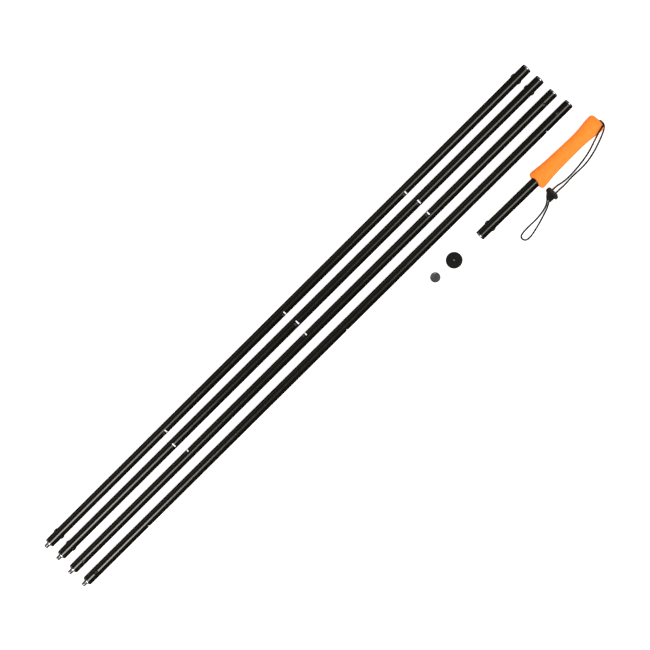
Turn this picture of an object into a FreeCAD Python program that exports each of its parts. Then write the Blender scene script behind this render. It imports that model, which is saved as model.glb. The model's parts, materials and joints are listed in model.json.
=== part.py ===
import FreeCAD, Part
import math
import os
import types

import Sketcher

# Sectional extension pole, laid out on a floor: four screw-together pole sections side by side,
# a short grip section with a lanyard and cord lock, and two small screw-on ends.
# Frame: millimetres, +X along the poles towards their sockets, +Y from the grip section towards
# section 1, +Z up. The origin is the middle of the laid-out set, on the floor.

Vector = FreeCAD.Vector
Rotation = FreeCAD.Rotation
Placement = FreeCAD.Placement

doc = FreeCAD.newDocument("sectional_pole")
sheet = doc.addObject("Spreadsheet::Sheet", "Sizes")

SIZES = [
    # pole sections
    ("tube_outer", 18.0),
    ("tube_wall", 1.2),
    ("section_span", 1219.0),
    ("stud_reach", 10.0),
    ("stud_width", 8.0),
    ("stud_buried", 16.0),
    ("flange_thick", 3.0),
    ("flange_round", 1.3),
    ("plug_reach", 34.0),
    ("plug_gap", 0.1),
    ("socket_width", 6.8),
    ("socket_deep", 14.0),
    ("socket_lead", 0.8),
    # blind rivets
    ("rivet_width", 4.8),
    ("rivet_reach", 5.0),
    ("rivet_gap", 0.1),
    ("head_width", 9.2),
    ("head_rise", 1.9),
    ("stud_rivet", 22.0),
    ("socket_rivet", 25.0),
    # where the sections lie: stud tip, axis and the turn of each section about its own axis
    ("tip_one", -618.4),
    ("tip_two", -616.7),
    ("tip_three", -617.2),
    ("tip_four", -612.5),
    ("lane_one", 82.3),
    ("lane_two", 51.0),
    ("lane_three", 17.2),
    ("lane_four", -16.7),
    ("roll_one", 12.0),
    ("roll_two", -4.0),
    ("roll_three", -42.0),
    ("roll_four", 100.0),
    ("twist_four", -33.0),
    # grip section
    ("grip_east", 331.0),
    ("grip_north", -74.0),
    ("grip_rest", 17.35),
    ("grip_yaw", -0.52),
    ("grip_roll", 4.0),
    ("grip_start", 135.4),
    ("grip_span", 152.0),
    ("grip_flare", 17.35),
    ("grip_waist", 13.3),
    ("grip_butt", 16.95),
    ("front_corner", 4.6),
    ("butt_corner", 7.0),
    ("grip_floor", 6.5),
    ("grip_gap", 0.15),
    ("cord_hole", 7.4),
    ("lip_round", 3.0),
    ("grip_rivet", 23.0),
    ("butt_plug_span", 14.0),
    ("knot_span", 10.0),
    ("knot_width", 12.0),
    ("leg_inset", 5.9),
    # cord and cord lock
    ("cord_width", 3.0),
    ("cord_pitch", 3.3),
    ("lock_east", 473.2),
    ("lock_north", -96.6),
    ("lock_span", 20.7),
    ("lock_width", 11.0),
    ("lock_bore", 7.6),
    ("lock_gap", 0.1),
    ("lock_cap", 1.6),
    ("strand_one", -104.4),
    ("strand_two", -112.6),
    ("press_travel", 1.8),
    ("button_reach", 4.0),
    ("spring_span", 3.1),
    ("spring_width", 5.2),
    ("spring_wire", 0.4),
    # loose screw-on ends
    ("pad_east", 270.2),
    ("pad_north", -71.4),
    ("pad_width", 29.6),
    ("pad_thick", 3.0),
    ("pad_hub", 17.0),
    ("pad_rise", 12.0),
    ("cap_east", 225.5),
    ("cap_north", -69.3),
    ("cap_width", 18.4),
    ("cap_thick", 3.4),
    ("cap_hub", 13.6),
    ("cap_rise", 11.4),
    ("insert_width", 10.4),
    ("insert_span", 8.0),
]


class Size:
    """A length from the sheet, or a sum of lengths, kept with the expression that gives it."""

    def __init__(self, number, text):
        self.number = number
        self.text = text

    def joined(self, other, sign, number):
        return Size(number, f"({self.text} {sign} {text_of(other)})")

    def __add__(self, other):
        return self.joined(other, "+", self.number + number_of(other))

    def __sub__(self, other):
        return self.joined(other, "-", self.number - number_of(other))

    def __mul__(self, other):
        return self.joined(other, "*", self.number * number_of(other))

    def __truediv__(self, other):
        return self.joined(other, "/", self.number / number_of(other))

    def __neg__(self):
        return Size(-self.number, f"(-1 * {self.text})")


def number_of(value):
    """The plain number of a size or of a number."""
    if isinstance(value, Size):
        return value.number
    return float(value)


def text_of(value):
    """The expression of a size or of a number."""
    if isinstance(value, Size):
        return value.text
    return repr(float(value))


def fixed(number):
    """A size that does not come from the sheet, such as the zero of a frame."""
    return Size(float(number), repr(float(number)))


for row, (alias, value) in enumerate(SIZES, 1):
    sheet.set(f"A{row}", str(value))
    sheet.setAlias(f"A{row}", alias)
doc.recompute()

s = types.SimpleNamespace(**{alias: Size(value, f"Sizes.{alias}") for alias, value in SIZES})

ZERO = fixed(0)
tube_r = s.tube_outer / 2
tube_inner_r = tube_r - s.tube_wall
plug_r = tube_inner_r - s.plug_gap
stud_r = s.stud_width / 2
socket_r = s.socket_width / 2
rivet_r = s.rivet_width / 2
rivet_hole_r = rivet_r + s.rivet_gap
head_r = s.head_width / 2
cord_r = s.cord_width / 2
dome_r = (head_r * head_r + s.head_rise * s.head_rise) / (s.head_rise * 2)
dome_centre = tube_r + s.head_rise - dome_r


def bind(target, name, value):
    """Ties a property, constraint or placement value to its size."""
    target.setExpression(name, text_of(value))


def new_body(label):
    """An empty body whose label names its node."""
    body = doc.addObject("PartDesign::Body", label)
    body.Label = label
    return body


def plane_of(body, role):
    """One of the body's own origin planes."""
    for feature in body.Origin.OriginFeatures:
        if feature.Role == role:
            return feature
    raise ValueError(role)


def new_sketch(body, name, role, lift=None, turn=None):
    """A sketch on an origin plane, moved along the plane's normal or turned about its X axis."""
    sketch = body.newObject("Sketcher::SketchObject", f"{body.Label}_{name}")
    sketch.AttachmentSupport = [(plane_of(body, role), "")]
    sketch.MapMode = "FlatFace"
    if lift is not None:
        sketch.AttachmentOffset = Placement(Vector(0, 0, number_of(lift)), Rotation())
        bind(sketch, "AttachmentOffset.Base.z", lift)
    if turn is not None:
        sketch.AttachmentOffset = Placement(Vector(0, 0, 0), Rotation(Vector(1, 0, 0), number_of(turn)))
        bind(sketch, "AttachmentOffset.Rotation.Angle", turn)
    return sketch


def hold(sketch, kind, first, first_end, second, second_end, value, name):
    """Adds one dimension between two points of a sketch and ties it to its size."""
    number = sketch.addConstraint(
        Sketcher.Constraint(kind, first, first_end, second, second_end, number_of(value))
    )
    sketch.renameConstraint(number, name)
    if isinstance(value, Size):
        bind(sketch, f"Constraints.{name}", value)


def draw_outline(sketch, points):
    """A closed outline of straight edges through the points, each held from the sketch's origin."""
    count = len(points)
    for index in range(count):
        start = points[index]
        end = points[(index + 1) % count]
        sketch.addGeometry(
            Part.LineSegment(
                Vector(number_of(start[0]), number_of(start[1]), 0),
                Vector(number_of(end[0]), number_of(end[1]), 0),
            ),
            False,
        )
    for index in range(count):
        sketch.addConstraint(Sketcher.Constraint("Coincident", index, 2, (index + 1) % count, 1))
    for index, (across, up) in enumerate(points):
        hold(sketch, "DistanceX", -1, 1, index, 1, across, f"across{index}")
        hold(sketch, "DistanceY", -1, 1, index, 1, up, f"up{index}")


def draw_circle(sketch, across, up, radius, index=0):
    """A circle with its centre held from the sketch's origin."""
    centre = Vector(number_of(across), number_of(up), 0)
    sketch.addGeometry(Part.Circle(centre, Vector(0, 0, 1), number_of(radius)), False)
    hold(sketch, "DistanceX", -1, 1, index, 3, across, f"across{index}")
    hold(sketch, "DistanceY", -1, 1, index, 3, up, f"up{index}")
    number = sketch.addConstraint(Sketcher.Constraint("Radius", index, number_of(radius)))
    sketch.renameConstraint(number, f"radius{index}")
    if isinstance(radius, Size):
        bind(sketch, f"Constraints.radius{index}", radius)


def turned(body, name, points, role="XY_Plane", axis="H_Axis", cut=False):
    """A turned solid or groove: the outline goes once round the sketch's own axis."""
    sketch = new_sketch(body, f"{name}_outline", role)
    draw_outline(sketch, points)
    kind = "PartDesign::Groove" if cut else "PartDesign::Revolution"
    feature = body.newObject(kind, f"{body.Label}_{name}")
    feature.Profile = sketch
    feature.ReferenceAxis = (sketch, [axis])
    feature.Angle = 360
    doc.recompute()
    return feature


def padded(body, name, sketch, length, reverse=False, both_ways=False):
    """A pad of the sketch."""
    feature = body.newObject("PartDesign::Pad", f"{body.Label}_{name}")
    feature.Profile = sketch
    feature.Reversed = reverse
    if both_ways:
        feature.Midplane = True
    bind(feature, "Length", length)
    doc.recompute()
    return feature


def cut_through(body, name, sketch, length, reverse=False, both_ways=True):
    """A pocket of the sketch."""
    before = body.Shape.Volume
    feature = body.newObject("PartDesign::Pocket", f"{body.Label}_{name}")
    feature.Profile = sketch
    feature.Reversed = reverse
    if both_ways:
        feature.Midplane = True
    bind(feature, "Length", length)
    doc.recompute()
    if body.Shape.Volume > before - 0.01:
        raise RuntimeError(f"{body.Label} {name} removed nothing")
    return feature


def rims(feature, axis, along, radius, centre=(0.0, 0.0)):
    """Names of the edges round an axis at one place along it and at one distance from it."""
    names = []
    others = [letter for letter in "xyz" if letter != axis]
    for number, edge in enumerate(feature.Shape.Edges, 1):
        if edge.Degenerated:
            continue
        points = edge.discretize(5)
        level = all(abs(getattr(point, axis) - along) < 0.002 for point in points)
        round_it = all(
            abs(
                math.hypot(
                    getattr(point, others[0]) - centre[0],
                    getattr(point, others[1]) - centre[1],
                )
                - radius
            )
            < 0.02
            for point in points
        )
        if level and round_it:
            names.append(f"Edge{number}")
    if not names:
        raise RuntimeError(f"no rim on {feature.Label} at {along:.2f}, radius {radius:.2f}")
    return names


def rounded(body, name, feature, names, radius):
    """A fillet on the named edges."""
    fillet = body.newObject("PartDesign::Fillet", f"{body.Label}_{name}")
    fillet.Base = (feature, names)
    bind(fillet, "Radius", radius)
    doc.recompute()
    return fillet


def place(target, east, north, up, axis=None, angle=None):
    """Puts a finished sub-part in the row's frame, each value tied to its size."""
    turn = Rotation()
    if axis is not None:
        turn = Rotation(axis, number_of(angle))
    base = Vector(number_of(east), number_of(north), number_of(up))
    target.Placement = Placement(base, turn)
    bind(target, "Placement.Base.x", east)
    bind(target, "Placement.Base.y", north)
    bind(target, "Placement.Base.z", up)
    if axis is not None:
        bind(target, "Placement.Rotation.Angle", angle)


# ---------------------------------------------------------------------------------------------
# Turned pieces shared by the sections and the grip section. All lie along X.
# ---------------------------------------------------------------------------------------------


def make_tube(label, start, end, hole_places):
    """A plain tube with a cross hole for each pair of rivets."""
    body = new_body(label)
    turned(
        body,
        "wall",
        [(start, tube_inner_r), (start, tube_r), (end, tube_r), (end, tube_inner_r)],
    )
    for number, (along, twist) in enumerate(hole_places, 1):
        sketch = new_sketch(body, f"rivet_hole_{number}_outline", "XZ_Plane", turn=twist)
        draw_circle(sketch, along, ZERO, rivet_hole_r)
        cut_through(body, f"rivet_hole_{number}", sketch, s.tube_outer * 2)
    return body


def make_stud_plug(label, rivet_at):
    """Plug with a flange that fills the tube's stud end and takes the stud."""
    shoulder = s.stud_reach + s.flange_thick
    end = shoulder + s.plug_reach
    hole_r = stud_r + s.plug_gap
    hole_end = s.stud_reach + s.stud_buried + 1.0
    body = new_body(label)
    wall = turned(
        body,
        "turning",
        [
            (s.stud_reach, hole_r),
            (s.stud_reach, tube_r),
            (shoulder, tube_r),
            (shoulder, plug_r),
            (end, plug_r),
            (end, ZERO),
            (hole_end, ZERO),
            (hole_end, hole_r),
        ],
    )
    rounded(body, "round", wall, rims(wall, "x", s.stud_reach.number, tube_r.number), s.flange_round)
    sketch = new_sketch(body, "rivet_hole_outline", "XZ_Plane")
    draw_circle(sketch, rivet_at, ZERO, rivet_hole_r)
    cut_through(body, "rivet_hole", sketch, s.tube_outer * 2)
    return body


def make_stud(label):
    """Threaded stud with a lead at each end and a relief where it meets the flange."""
    lead = fixed(0.9)
    neck_r = stud_r - 0.5
    end = s.stud_reach + s.stud_buried
    body = new_body(label)
    turned(
        body,
        "turning",
        [
            (ZERO, ZERO),
            (ZERO, stud_r - lead),
            (lead, stud_r),
            (s.stud_reach - 1.0, stud_r),
            (s.stud_reach - 0.5, neck_r),
            (s.stud_reach + 0.5, neck_r),
            (s.stud_reach + 1.0, stud_r),
            (end - lead, stud_r),
            (end, stud_r - lead),
            (end, ZERO),
        ],
    )
    return body


def make_socket_plug(label, face, inward, rivet_at, twist):
    """Plug with a flange and a threaded socket; inward is +1 or -1 along X, away from the face."""

    def along(distance):
        if inward > 0:
            return face + distance
        return face - distance

    shoulder = along(s.flange_thick)
    end = along(s.flange_thick + s.plug_reach)
    body = new_body(label)
    wall = turned(
        body,
        "turning",
        [
            (face, socket_r + s.socket_lead),
            (along(s.socket_lead), socket_r),
            (along(s.socket_deep), socket_r),
            (along(s.socket_deep + 1.8), ZERO),
            (end, ZERO),
            (end, plug_r),
            (shoulder, plug_r),
            (shoulder, tube_r),
            (face, tube_r),
        ],
    )
    rounded(body, "round", wall, rims(wall, "x", number_of(face), tube_r.number), s.flange_round)
    sketch = new_sketch(body, "rivet_hole_outline", "XZ_Plane", turn=twist)
    draw_circle(sketch, rivet_at, ZERO, rivet_hole_r)
    cut_through(body, "rivet_hole", sketch, s.tube_outer * 2)
    return body


def make_rivet():
    """One blind rivet standing along +Y on a tube that lies along X: domed head, saddle, shank."""
    dome = doc.addObject("Part::Sphere", "rivet_dome")
    bind(dome, "Radius", dome_r)
    bind(dome, "Placement.Base.y", dome_centre)
    column = doc.addObject("Part::Cylinder", "rivet_column")
    column.Placement = Placement(Vector(0, 0, 0), Rotation(Vector(1, 0, 0), -90))
    bind(column, "Radius", head_r)
    bind(column, "Height", s.tube_outer)
    blank = doc.addObject("Part::MultiCommon", "rivet_blank")
    blank.Shapes = [dome, column]
    saddle = doc.addObject("Part::Cylinder", "rivet_saddle")
    saddle.Placement = Placement(Vector(0, 0, 0), Rotation(Vector(0, 1, 0), 90))
    bind(saddle, "Radius", tube_r + 0.05)
    bind(saddle, "Height", s.tube_outer * 2)
    bind(saddle, "Placement.Base.x", -s.tube_outer)
    head = doc.addObject("Part::Cut", "rivet_head")
    head.Base = blank
    head.Tool = saddle
    shank = doc.addObject("Part::Cylinder", "rivet_shank")
    shank.Placement = Placement(Vector(0, 0, 0), Rotation(Vector(1, 0, 0), -90))
    bind(shank, "Radius", rivet_r)
    bind(shank, "Height", s.rivet_reach + 0.8)
    bind(shank, "Placement.Base.y", tube_r - s.rivet_reach)
    rivet = doc.addObject("Part::MultiFuse", "rivet")
    rivet.Shapes = [head, shank]
    doc.recompute()
    return rivet


def make_rivets(label, rivet, places):
    """The rivets of one section as one group: a link to the rivet at each place and turn."""
    links = []
    for number, (along, turn) in enumerate(places, 1):
        link = doc.addObject("App::Link", f"{label}_link_{number}")
        link.LinkedObject = rivet
        link.Placement = Placement(
            Vector(number_of(along), 0, 0), Rotation(Vector(1, 0, 0), number_of(turn))
        )
        bind(link, "Placement.Base.x", along)
        links.append(link)
    group = doc.addObject("Part::Compound", label)
    group.Label = label
    group.Links = links
    doc.recompute()
    return group


def opposed(along, twist):
    """Places of two opposed rivets."""
    return [(along, twist), (along, twist + 180.0)]


# ---------------------------------------------------------------------------------------------
# Pole sections
# ---------------------------------------------------------------------------------------------

rivet = make_rivet()
nodes = []

tube_start = s.stud_reach + s.flange_thick
tube_end = s.section_span - s.flange_thick
stud_rivet_at = tube_start + s.stud_rivet
socket_rivet_at = tube_end - s.socket_rivet


def lowest_rivet(roll):
    """Height of the axis of a section that rests on the domes of its rivets."""
    lean = f"abs(sin({roll.text} * 1 deg))"
    number = abs(math.sin(math.radians(roll.number)))
    return Size(
        dome_centre.number * number + dome_r.number,
        f"({dome_centre.text} * {lean} + {dome_r.text})",
    )


def make_section(label, tip, lane, rest, roll, twist):
    """One pole section: tube, stud plug, stud, socket plug and rivets, all turned together."""
    pieces = [
        make_tube(f"{label}_tube", tube_start, tube_end, [(stud_rivet_at, ZERO), (socket_rivet_at, twist)]),
        make_stud_plug(f"{label}_stud_plug", stud_rivet_at),
        make_stud(f"{label}_stud"),
        make_socket_plug(f"{label}_socket_plug", s.section_span, -1, socket_rivet_at, twist),
        make_rivets(
            f"{label}_rivets",
            rivet,
            opposed(stud_rivet_at, ZERO) + opposed(socket_rivet_at, twist),
        ),
    ]
    for piece in pieces:
        place(piece, tip, lane, rest, Vector(1, 0, 0), roll)
    nodes.extend(pieces)


make_section("section_1", s.tip_one, s.lane_one, tube_r, s.roll_one, ZERO)
make_section("section_2", s.tip_two, s.lane_two, tube_r, s.roll_two, ZERO)
make_section("section_3", s.tip_three, s.lane_three, lowest_rivet(s.roll_three), s.roll_three, ZERO)
make_section("section_4", s.tip_four, s.lane_four, lowest_rivet(s.roll_four), s.roll_four, s.twist_four)

# ---------------------------------------------------------------------------------------------
# Grip section: local X runs from the socket's face to the grip's butt
# ---------------------------------------------------------------------------------------------

grip_end = s.grip_start + s.grip_span
grip_tube_end = grip_end - s.grip_floor - 0.4
grip_rivet_at = s.flange_thick + s.grip_rivet
plug_start = grip_tube_end - s.butt_plug_span

# The grip's outline between its rounded ends: how far along it each ring stands, and how far its
# radius has gone from the waist towards the flare (front rings) or towards the butt (rear rings).
FRONT_RINGS = [(0.055, 0.99), (0.08, 0.91), (0.13, 0.7), (0.22, 0.37), (0.40, 0.17)]
REAR_RINGS = [(0.62, 0.0), (0.75, 0.14), (0.82, 0.47), (0.88, 0.81), (0.925, 0.96)]
ROUND_STEPS = [0.0, 24.0, 46.0, 68.0, 90.0]


def round_ring(wide, corner, degrees):
    """Depth behind an end face and radius of one ring on the end's quarter round."""
    turn = math.radians(degrees)
    return corner * (1 - math.cos(turn)), wide - corner * (1 - math.sin(turn))


def make_grip(label):
    """Soft grip lofted through rings, bored for the tube, with the cord hole in its closed butt."""
    places = []
    for degrees in ROUND_STEPS:
        depth, radius = round_ring(s.grip_flare, s.front_corner, degrees)
        places.append((s.grip_start + depth, radius))
    for spread, wide in ((FRONT_RINGS, s.grip_flare), (REAR_RINGS, s.grip_butt)):
        for share, part in spread:
            radius = s.grip_waist + (wide - s.grip_waist) * part
            places.append((s.grip_start + s.grip_span * share, radius))
    for degrees in reversed(ROUND_STEPS):
        depth, radius = round_ring(s.grip_butt, s.butt_corner, degrees)
        places.append((grip_end - depth, radius))
    body = new_body(label)
    rings = []
    for number, (along, radius) in enumerate(places, 1):
        ring = new_sketch(body, f"ring_{number}", "YZ_Plane", lift=along)
        draw_circle(ring, ZERO, ZERO, radius)
        rings.append(ring)
    loft = body.newObject("PartDesign::AdditiveLoft", f"{label}_loft")
    loft.Profile = rings[0]
    loft.Sections = rings[1:]
    doc.recompute()
    bore_r = tube_r + s.grip_gap
    bore_end = grip_end - s.grip_floor
    hole_r = s.cord_hole / 2
    bore = turned(
        body,
        "bore",
        [
            (s.grip_start - 1.0, ZERO),
            (s.grip_start - 1.0, bore_r + 2.6),
            (s.grip_start, bore_r + 1.9),
            (s.grip_start + 1.4, bore_r),
            (bore_end, bore_r),
            (bore_end, hole_r),
            (grip_end + 1.0, hole_r),
            (grip_end + 1.0, ZERO),
        ],
        cut=True,
    )
    rounded(body, "lip", bore, rims(bore, "x", grip_end.number, hole_r.number), s.lip_round)
    return body


def make_knot(label):
    """Stopper knot behind the butt plug, with the cord's two legs through the plug."""
    knot_r = s.knot_width / 2
    knot_start = plug_start - s.knot_span
    body = new_body(f"{label}_ball")
    turned(
        body,
        "turning",
        [
            (knot_start, ZERO),
            (knot_start, knot_r * 0.5),
            (knot_start + s.knot_span * 0.2, knot_r * 0.92),
            (knot_start + s.knot_span * 0.5, knot_r),
            (knot_start + s.knot_span * 0.8, knot_r * 0.95),
            (plug_start, knot_r * 0.8),
            (plug_start, ZERO),
        ],
    )
    legs = []
    for side in (1.0, -1.0):
        leg = doc.addObject("Part::Cylinder", f"{label}_leg")
        leg.Placement = Placement(Vector(0, 0, 0), Rotation(Vector(0, 1, 0), 90))
        bind(leg, "Radius", cord_r)
        bind(leg, "Height", grip_end - s.leg_inset - plug_start + 2.0)
        bind(leg, "Placement.Base.x", plug_start - 2.0)
        bind(leg, "Placement.Base.z", s.cord_pitch * (side / 2))
        legs.append(leg)
    knot = doc.addObject("Part::MultiFuse", label)
    knot.Label = label
    knot.Shapes = [body] + legs
    doc.recompute()
    return knot


def make_butt_plug(label):
    """Ring pressed into the tube's end; the knot sits behind it."""
    hole_r = s.cord_hole / 2
    body = new_body(label)
    turned(
        body,
        "turning",
        [
            (plug_start, hole_r),
            (plug_start, plug_r),
            (grip_tube_end, plug_r),
            (grip_tube_end, hole_r),
        ],
    )
    return body


grip_pieces = [
    make_tube("grip_tube", s.flange_thick, grip_tube_end, [(grip_rivet_at, s.grip_roll)]),
    make_socket_plug("grip_socket_plug", ZERO, 1, grip_rivet_at, s.grip_roll),
    make_rivets("grip_rivets", rivet, opposed(grip_rivet_at, s.grip_roll)),
    make_grip("grip"),
    make_butt_plug("butt_plug"),
    make_knot("lanyard_knot"),
]
for piece in grip_pieces:
    place(piece, s.grip_east, s.grip_north, s.grip_rest, Vector(0, 0, 1), s.grip_yaw)
nodes.extend(grip_pieces)

# ---------------------------------------------------------------------------------------------
# Lanyard: one cord from the knot's upper leg out to the loop and back to its lower leg
# ---------------------------------------------------------------------------------------------

ROUTE = [
    # out of the butt, up over its corner
    (612.49, -76.555, 19.0),
    (620.35, -76.626, 19.0),
    (620.5, -84.6, 21.2),
    (619.4, -90.0, 26.2),
    (610.8, -91.8, 29.8),
    (603.1, -93.2, 25.8),
    (595.1, -95.0, 19.5),
    (587.1, -96.6, 12.0),
    (579.1, -98.9, 6.0),
    (570.1, -101.3, 2.4),
    (558.6, -103.6, 1.5),
    # along the floor to the cord lock
    (544.6, -105.9, 1.5),
    (528.6, -107.3, 1.5),
    (516.6, -107.8, 1.5),
    (506.1, -107.5, 1.5),
    (497.1, -106.3, 2.6),
    (487.4, -104.4, 5.5),
    # through the lock and round the loop
    (464.7, -104.4, 5.5),
    (459.1, -111.0, 5.6),
    (451.1, -116.2, 4.6),
    (442.1, -118.5, 2.2),
    (432.6, -120.0, 1.5),
    (419.6, -121.0, 1.5),
    (404.6, -120.4, 1.5),
    (390.9, -120.8, 1.5),
    (382.2, -122.6, 1.5),
    (380.2, -129.5, 1.5),
    (384.6, -135.1, 1.5),
    (393.6, -135.8, 1.5),
    (405.6, -133.5, 1.5),
    (418.6, -130.2, 1.5),
    (429.6, -126.9, 1.5),
    (438.1, -124.0, 1.5),
    (447.1, -121.0, 1.5),
    (455.1, -117.3, 3.0),
    # back through the lock
    (462.6, -112.6, 5.5),
    (487.6, -112.6, 5.5),
    (495.1, -112.9, 3.0),
    (502.6, -112.5, 1.5),
    (512.6, -111.8, 1.5),
    (523.6, -111.5, 1.5),
    (537.6, -112.4, 1.5),
    (551.6, -112.1, 1.5),
    (565.6, -109.9, 1.5),
    (578.6, -106.7, 1.5),
    (590.6, -102.6, 1.5),
    (600.1, -99.2, 2.6),
    (608.1, -96.2, 5.8),
    (615.1, -93.0, 9.2),
    (620.6, -88.4, 12.4),
    (620.6, -83.4, 14.8),
    (620.35, -76.626, 15.7),
    (612.49, -76.555, 15.7),
]


def rounded_path(points):
    """Straight runs joined by tangent arcs; gives the wire and the arcs' radii."""
    places = [Vector(*point) for point in points]
    edges = []
    radii = []
    start = places[0]
    for before, corner, after in zip(places, places[1:], places[2:]):
        back = (before - corner).normalize()
        ahead = (after - corner).normalize()
        turn = math.pi - back.getAngle(ahead)
        reach = 0.45 * min((before - corner).Length, (after - corner).Length)
        radius = reach / math.tan(turn / 2)
        inner = (back + ahead).normalize()
        middle = corner + inner * (radius / math.cos(turn / 2) - radius)
        first = corner + back * reach
        last = corner + ahead * reach
        edges.append(Part.LineSegment(start, first).toShape())
        edges.append(Part.Arc(first, middle, last).toShape())
        radii.append(radius)
        start = last
    edges.append(Part.LineSegment(start, places[-1]).toShape())
    return Part.Wire(edges), radii


def make_cord(label):
    """The lanyard as one round tube along the route."""
    wire, radii = rounded_path(ROUTE)
    route = doc.addObject("Part::Feature", f"{label}_route")
    route.Shape = wire
    section = doc.addObject("Part::Circle", f"{label}_section")
    section.Placement = Placement(
        Vector(*ROUTE[0]), Rotation(Vector(0, 0, 1), Vector(*ROUTE[1]) - Vector(*ROUTE[0]))
    )
    bind(section, "Radius", cord_r)
    doc.recompute()
    cord = doc.addObject("Part::Sweep", label)
    cord.Label = label
    cord.Sections = [section]
    cord.Spine = (route, [f"Edge{number}" for number in range(1, len(wire.Edges) + 1)])
    cord.Solid = True
    cord.Frenet = False
    doc.recompute()
    print("cord length", round(wire.Length, 1), "mm")
    print("cord radii", " ".join(f"{radius:.1f}" for radius in radii))
    print("cord volume", round(cord.Shape.Volume, 1), "section by length",
          round(math.pi * cord_r.number ** 2 * wire.Length, 1))
    return cord


nodes.append(make_cord("lanyard_cord"))

# ---------------------------------------------------------------------------------------------
# Cord lock: barrel across the cord, tapered tail, plunger with two windows, spring behind it
# ---------------------------------------------------------------------------------------------

lock_r = s.lock_width / 2
bore_r = s.lock_bore / 2
lock_mouth = s.lock_north - s.lock_span
plunger_r = bore_r - s.lock_gap
window_top = cord_r + 0.2
plunger_tip = s.lock_north - s.lock_cap - s.spring_span - 0.2


def make_lock_body(label):
    """Barrel lying along Y with a flat tapered tail; two cord holes open into a slot in the tail."""
    body = new_body(label)
    round_sketch = new_sketch(body, "barrel_outline", "XZ_Plane", lift=-s.lock_north)
    draw_circle(round_sketch, s.lock_east, lock_r, lock_r)
    barrel = padded(body, "barrel", round_sketch, s.lock_span)
    closed = rounded(
        body,
        "barrel_end",
        barrel,
        rims(barrel, "y", s.lock_north.number, lock_r.number, (s.lock_east.number, lock_r.number)),
        fixed(3.2),
    )
    mouth = rounded(
        body,
        "barrel_mouth",
        closed,
        rims(closed, "y", lock_mouth.number, lock_r.number, (s.lock_east.number, lock_r.number)),
        fixed(0.8),
    )
    tail = new_sketch(body, "tail_outline", "XY_Plane", lift=lock_r)
    west = s.lock_east - 12.6
    draw_outline(
        tail,
        [
            (s.lock_east, s.lock_north - 2.0),
            (s.lock_east - 3.2, s.lock_north - 2.6),
            (west + 0.8, s.strand_one - 1.6),
            (west, s.strand_one - 2.6),
            (west + 0.2, s.strand_two - 3.9),
            (west + 1.2, s.strand_two - 4.5),
            (s.lock_east, s.strand_two - 4.5),
        ],
    )
    padded(body, "tail", tail, s.lock_width - 2.4, both_ways=True)
    bore = new_sketch(body, "bore_outline", "XZ_Plane", lift=-lock_mouth)
    draw_circle(bore, s.lock_east, lock_r, bore_r)
    cut_through(body, "bore", bore, s.lock_span - s.lock_cap, reverse=False, both_ways=False)
    holes = new_sketch(body, "cord_holes_outline", "YZ_Plane", lift=s.lock_east)
    draw_circle(holes, s.strand_one, lock_r, cord_r + 0.35, 0)
    draw_circle(holes, s.strand_two, lock_r, cord_r + 0.35, 1)
    cut_through(body, "cord_holes", holes, s.lock_width * 2)
    slot = new_sketch(body, "slot_outline", "XY_Plane", lift=lock_r)
    east = s.lock_east - 4.6
    draw_outline(
        slot,
        [
            (west - 2.0, s.lock_north + 1.0),
            (east, s.lock_north + 1.0),
            (east, s.strand_two - 2.2),
            (west + 3.0, s.strand_two - 2.7),
            (west - 2.0, s.strand_two - 3.8),
        ],
    )
    cut_through(body, "slot", slot, s.cord_width + 1.5)
    return body


def make_plunger(label):
    """Plunger with a long window for each strand, and its rounded end as the button."""
    travel_window = s.press_travel + s.cord_width + 0.3
    outer_end = lock_mouth - s.button_reach
    body = new_body(label)
    rod_sketch = new_sketch(body, "rod_outline", "XZ_Plane", lift=-plunger_tip)
    draw_circle(rod_sketch, s.lock_east, lock_r, plunger_r)
    rod = padded(body, "rod", rod_sketch, plunger_tip - outer_end)
    rounded(
        body,
        "button",
        rod,
        rims(rod, "y", outer_end.number, plunger_r.number, (s.lock_east.number, lock_r.number)),
        fixed(2.0),
    )
    windows = new_sketch(body, "windows_outline", "YZ_Plane", lift=s.lock_east)
    corner_sets = []
    for strand in (s.strand_one, s.strand_two):
        north = strand + cord_r + 0.15
        south = north - travel_window
        low = lock_r - window_top
        high = lock_r + window_top
        corner_sets.append([(north, low), (north, high), (south, high), (south, low)])
    for group, corners in enumerate(corner_sets):
        first = group * 4
        for index in range(4):
            start = corners[index]
            end = corners[(index + 1) % 4]
            windows.addGeometry(
                Part.LineSegment(
                    Vector(number_of(start[0]), number_of(start[1]), 0),
                    Vector(number_of(end[0]), number_of(end[1]), 0),
                ),
                False,
            )
        for index in range(4):
            windows.addConstraint(
                Sketcher.Constraint("Coincident", first + index, 2, first + (index + 1) % 4, 1)
            )
        for index, (across, up) in enumerate(corners):
            hold(windows, "DistanceX", -1, 1, first + index, 1, across, f"across{first + index}")
            hold(windows, "DistanceY", -1, 1, first + index, 1, up, f"up{first + index}")
    cut_through(body, "windows", windows, s.lock_width * 2)
    return body


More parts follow.
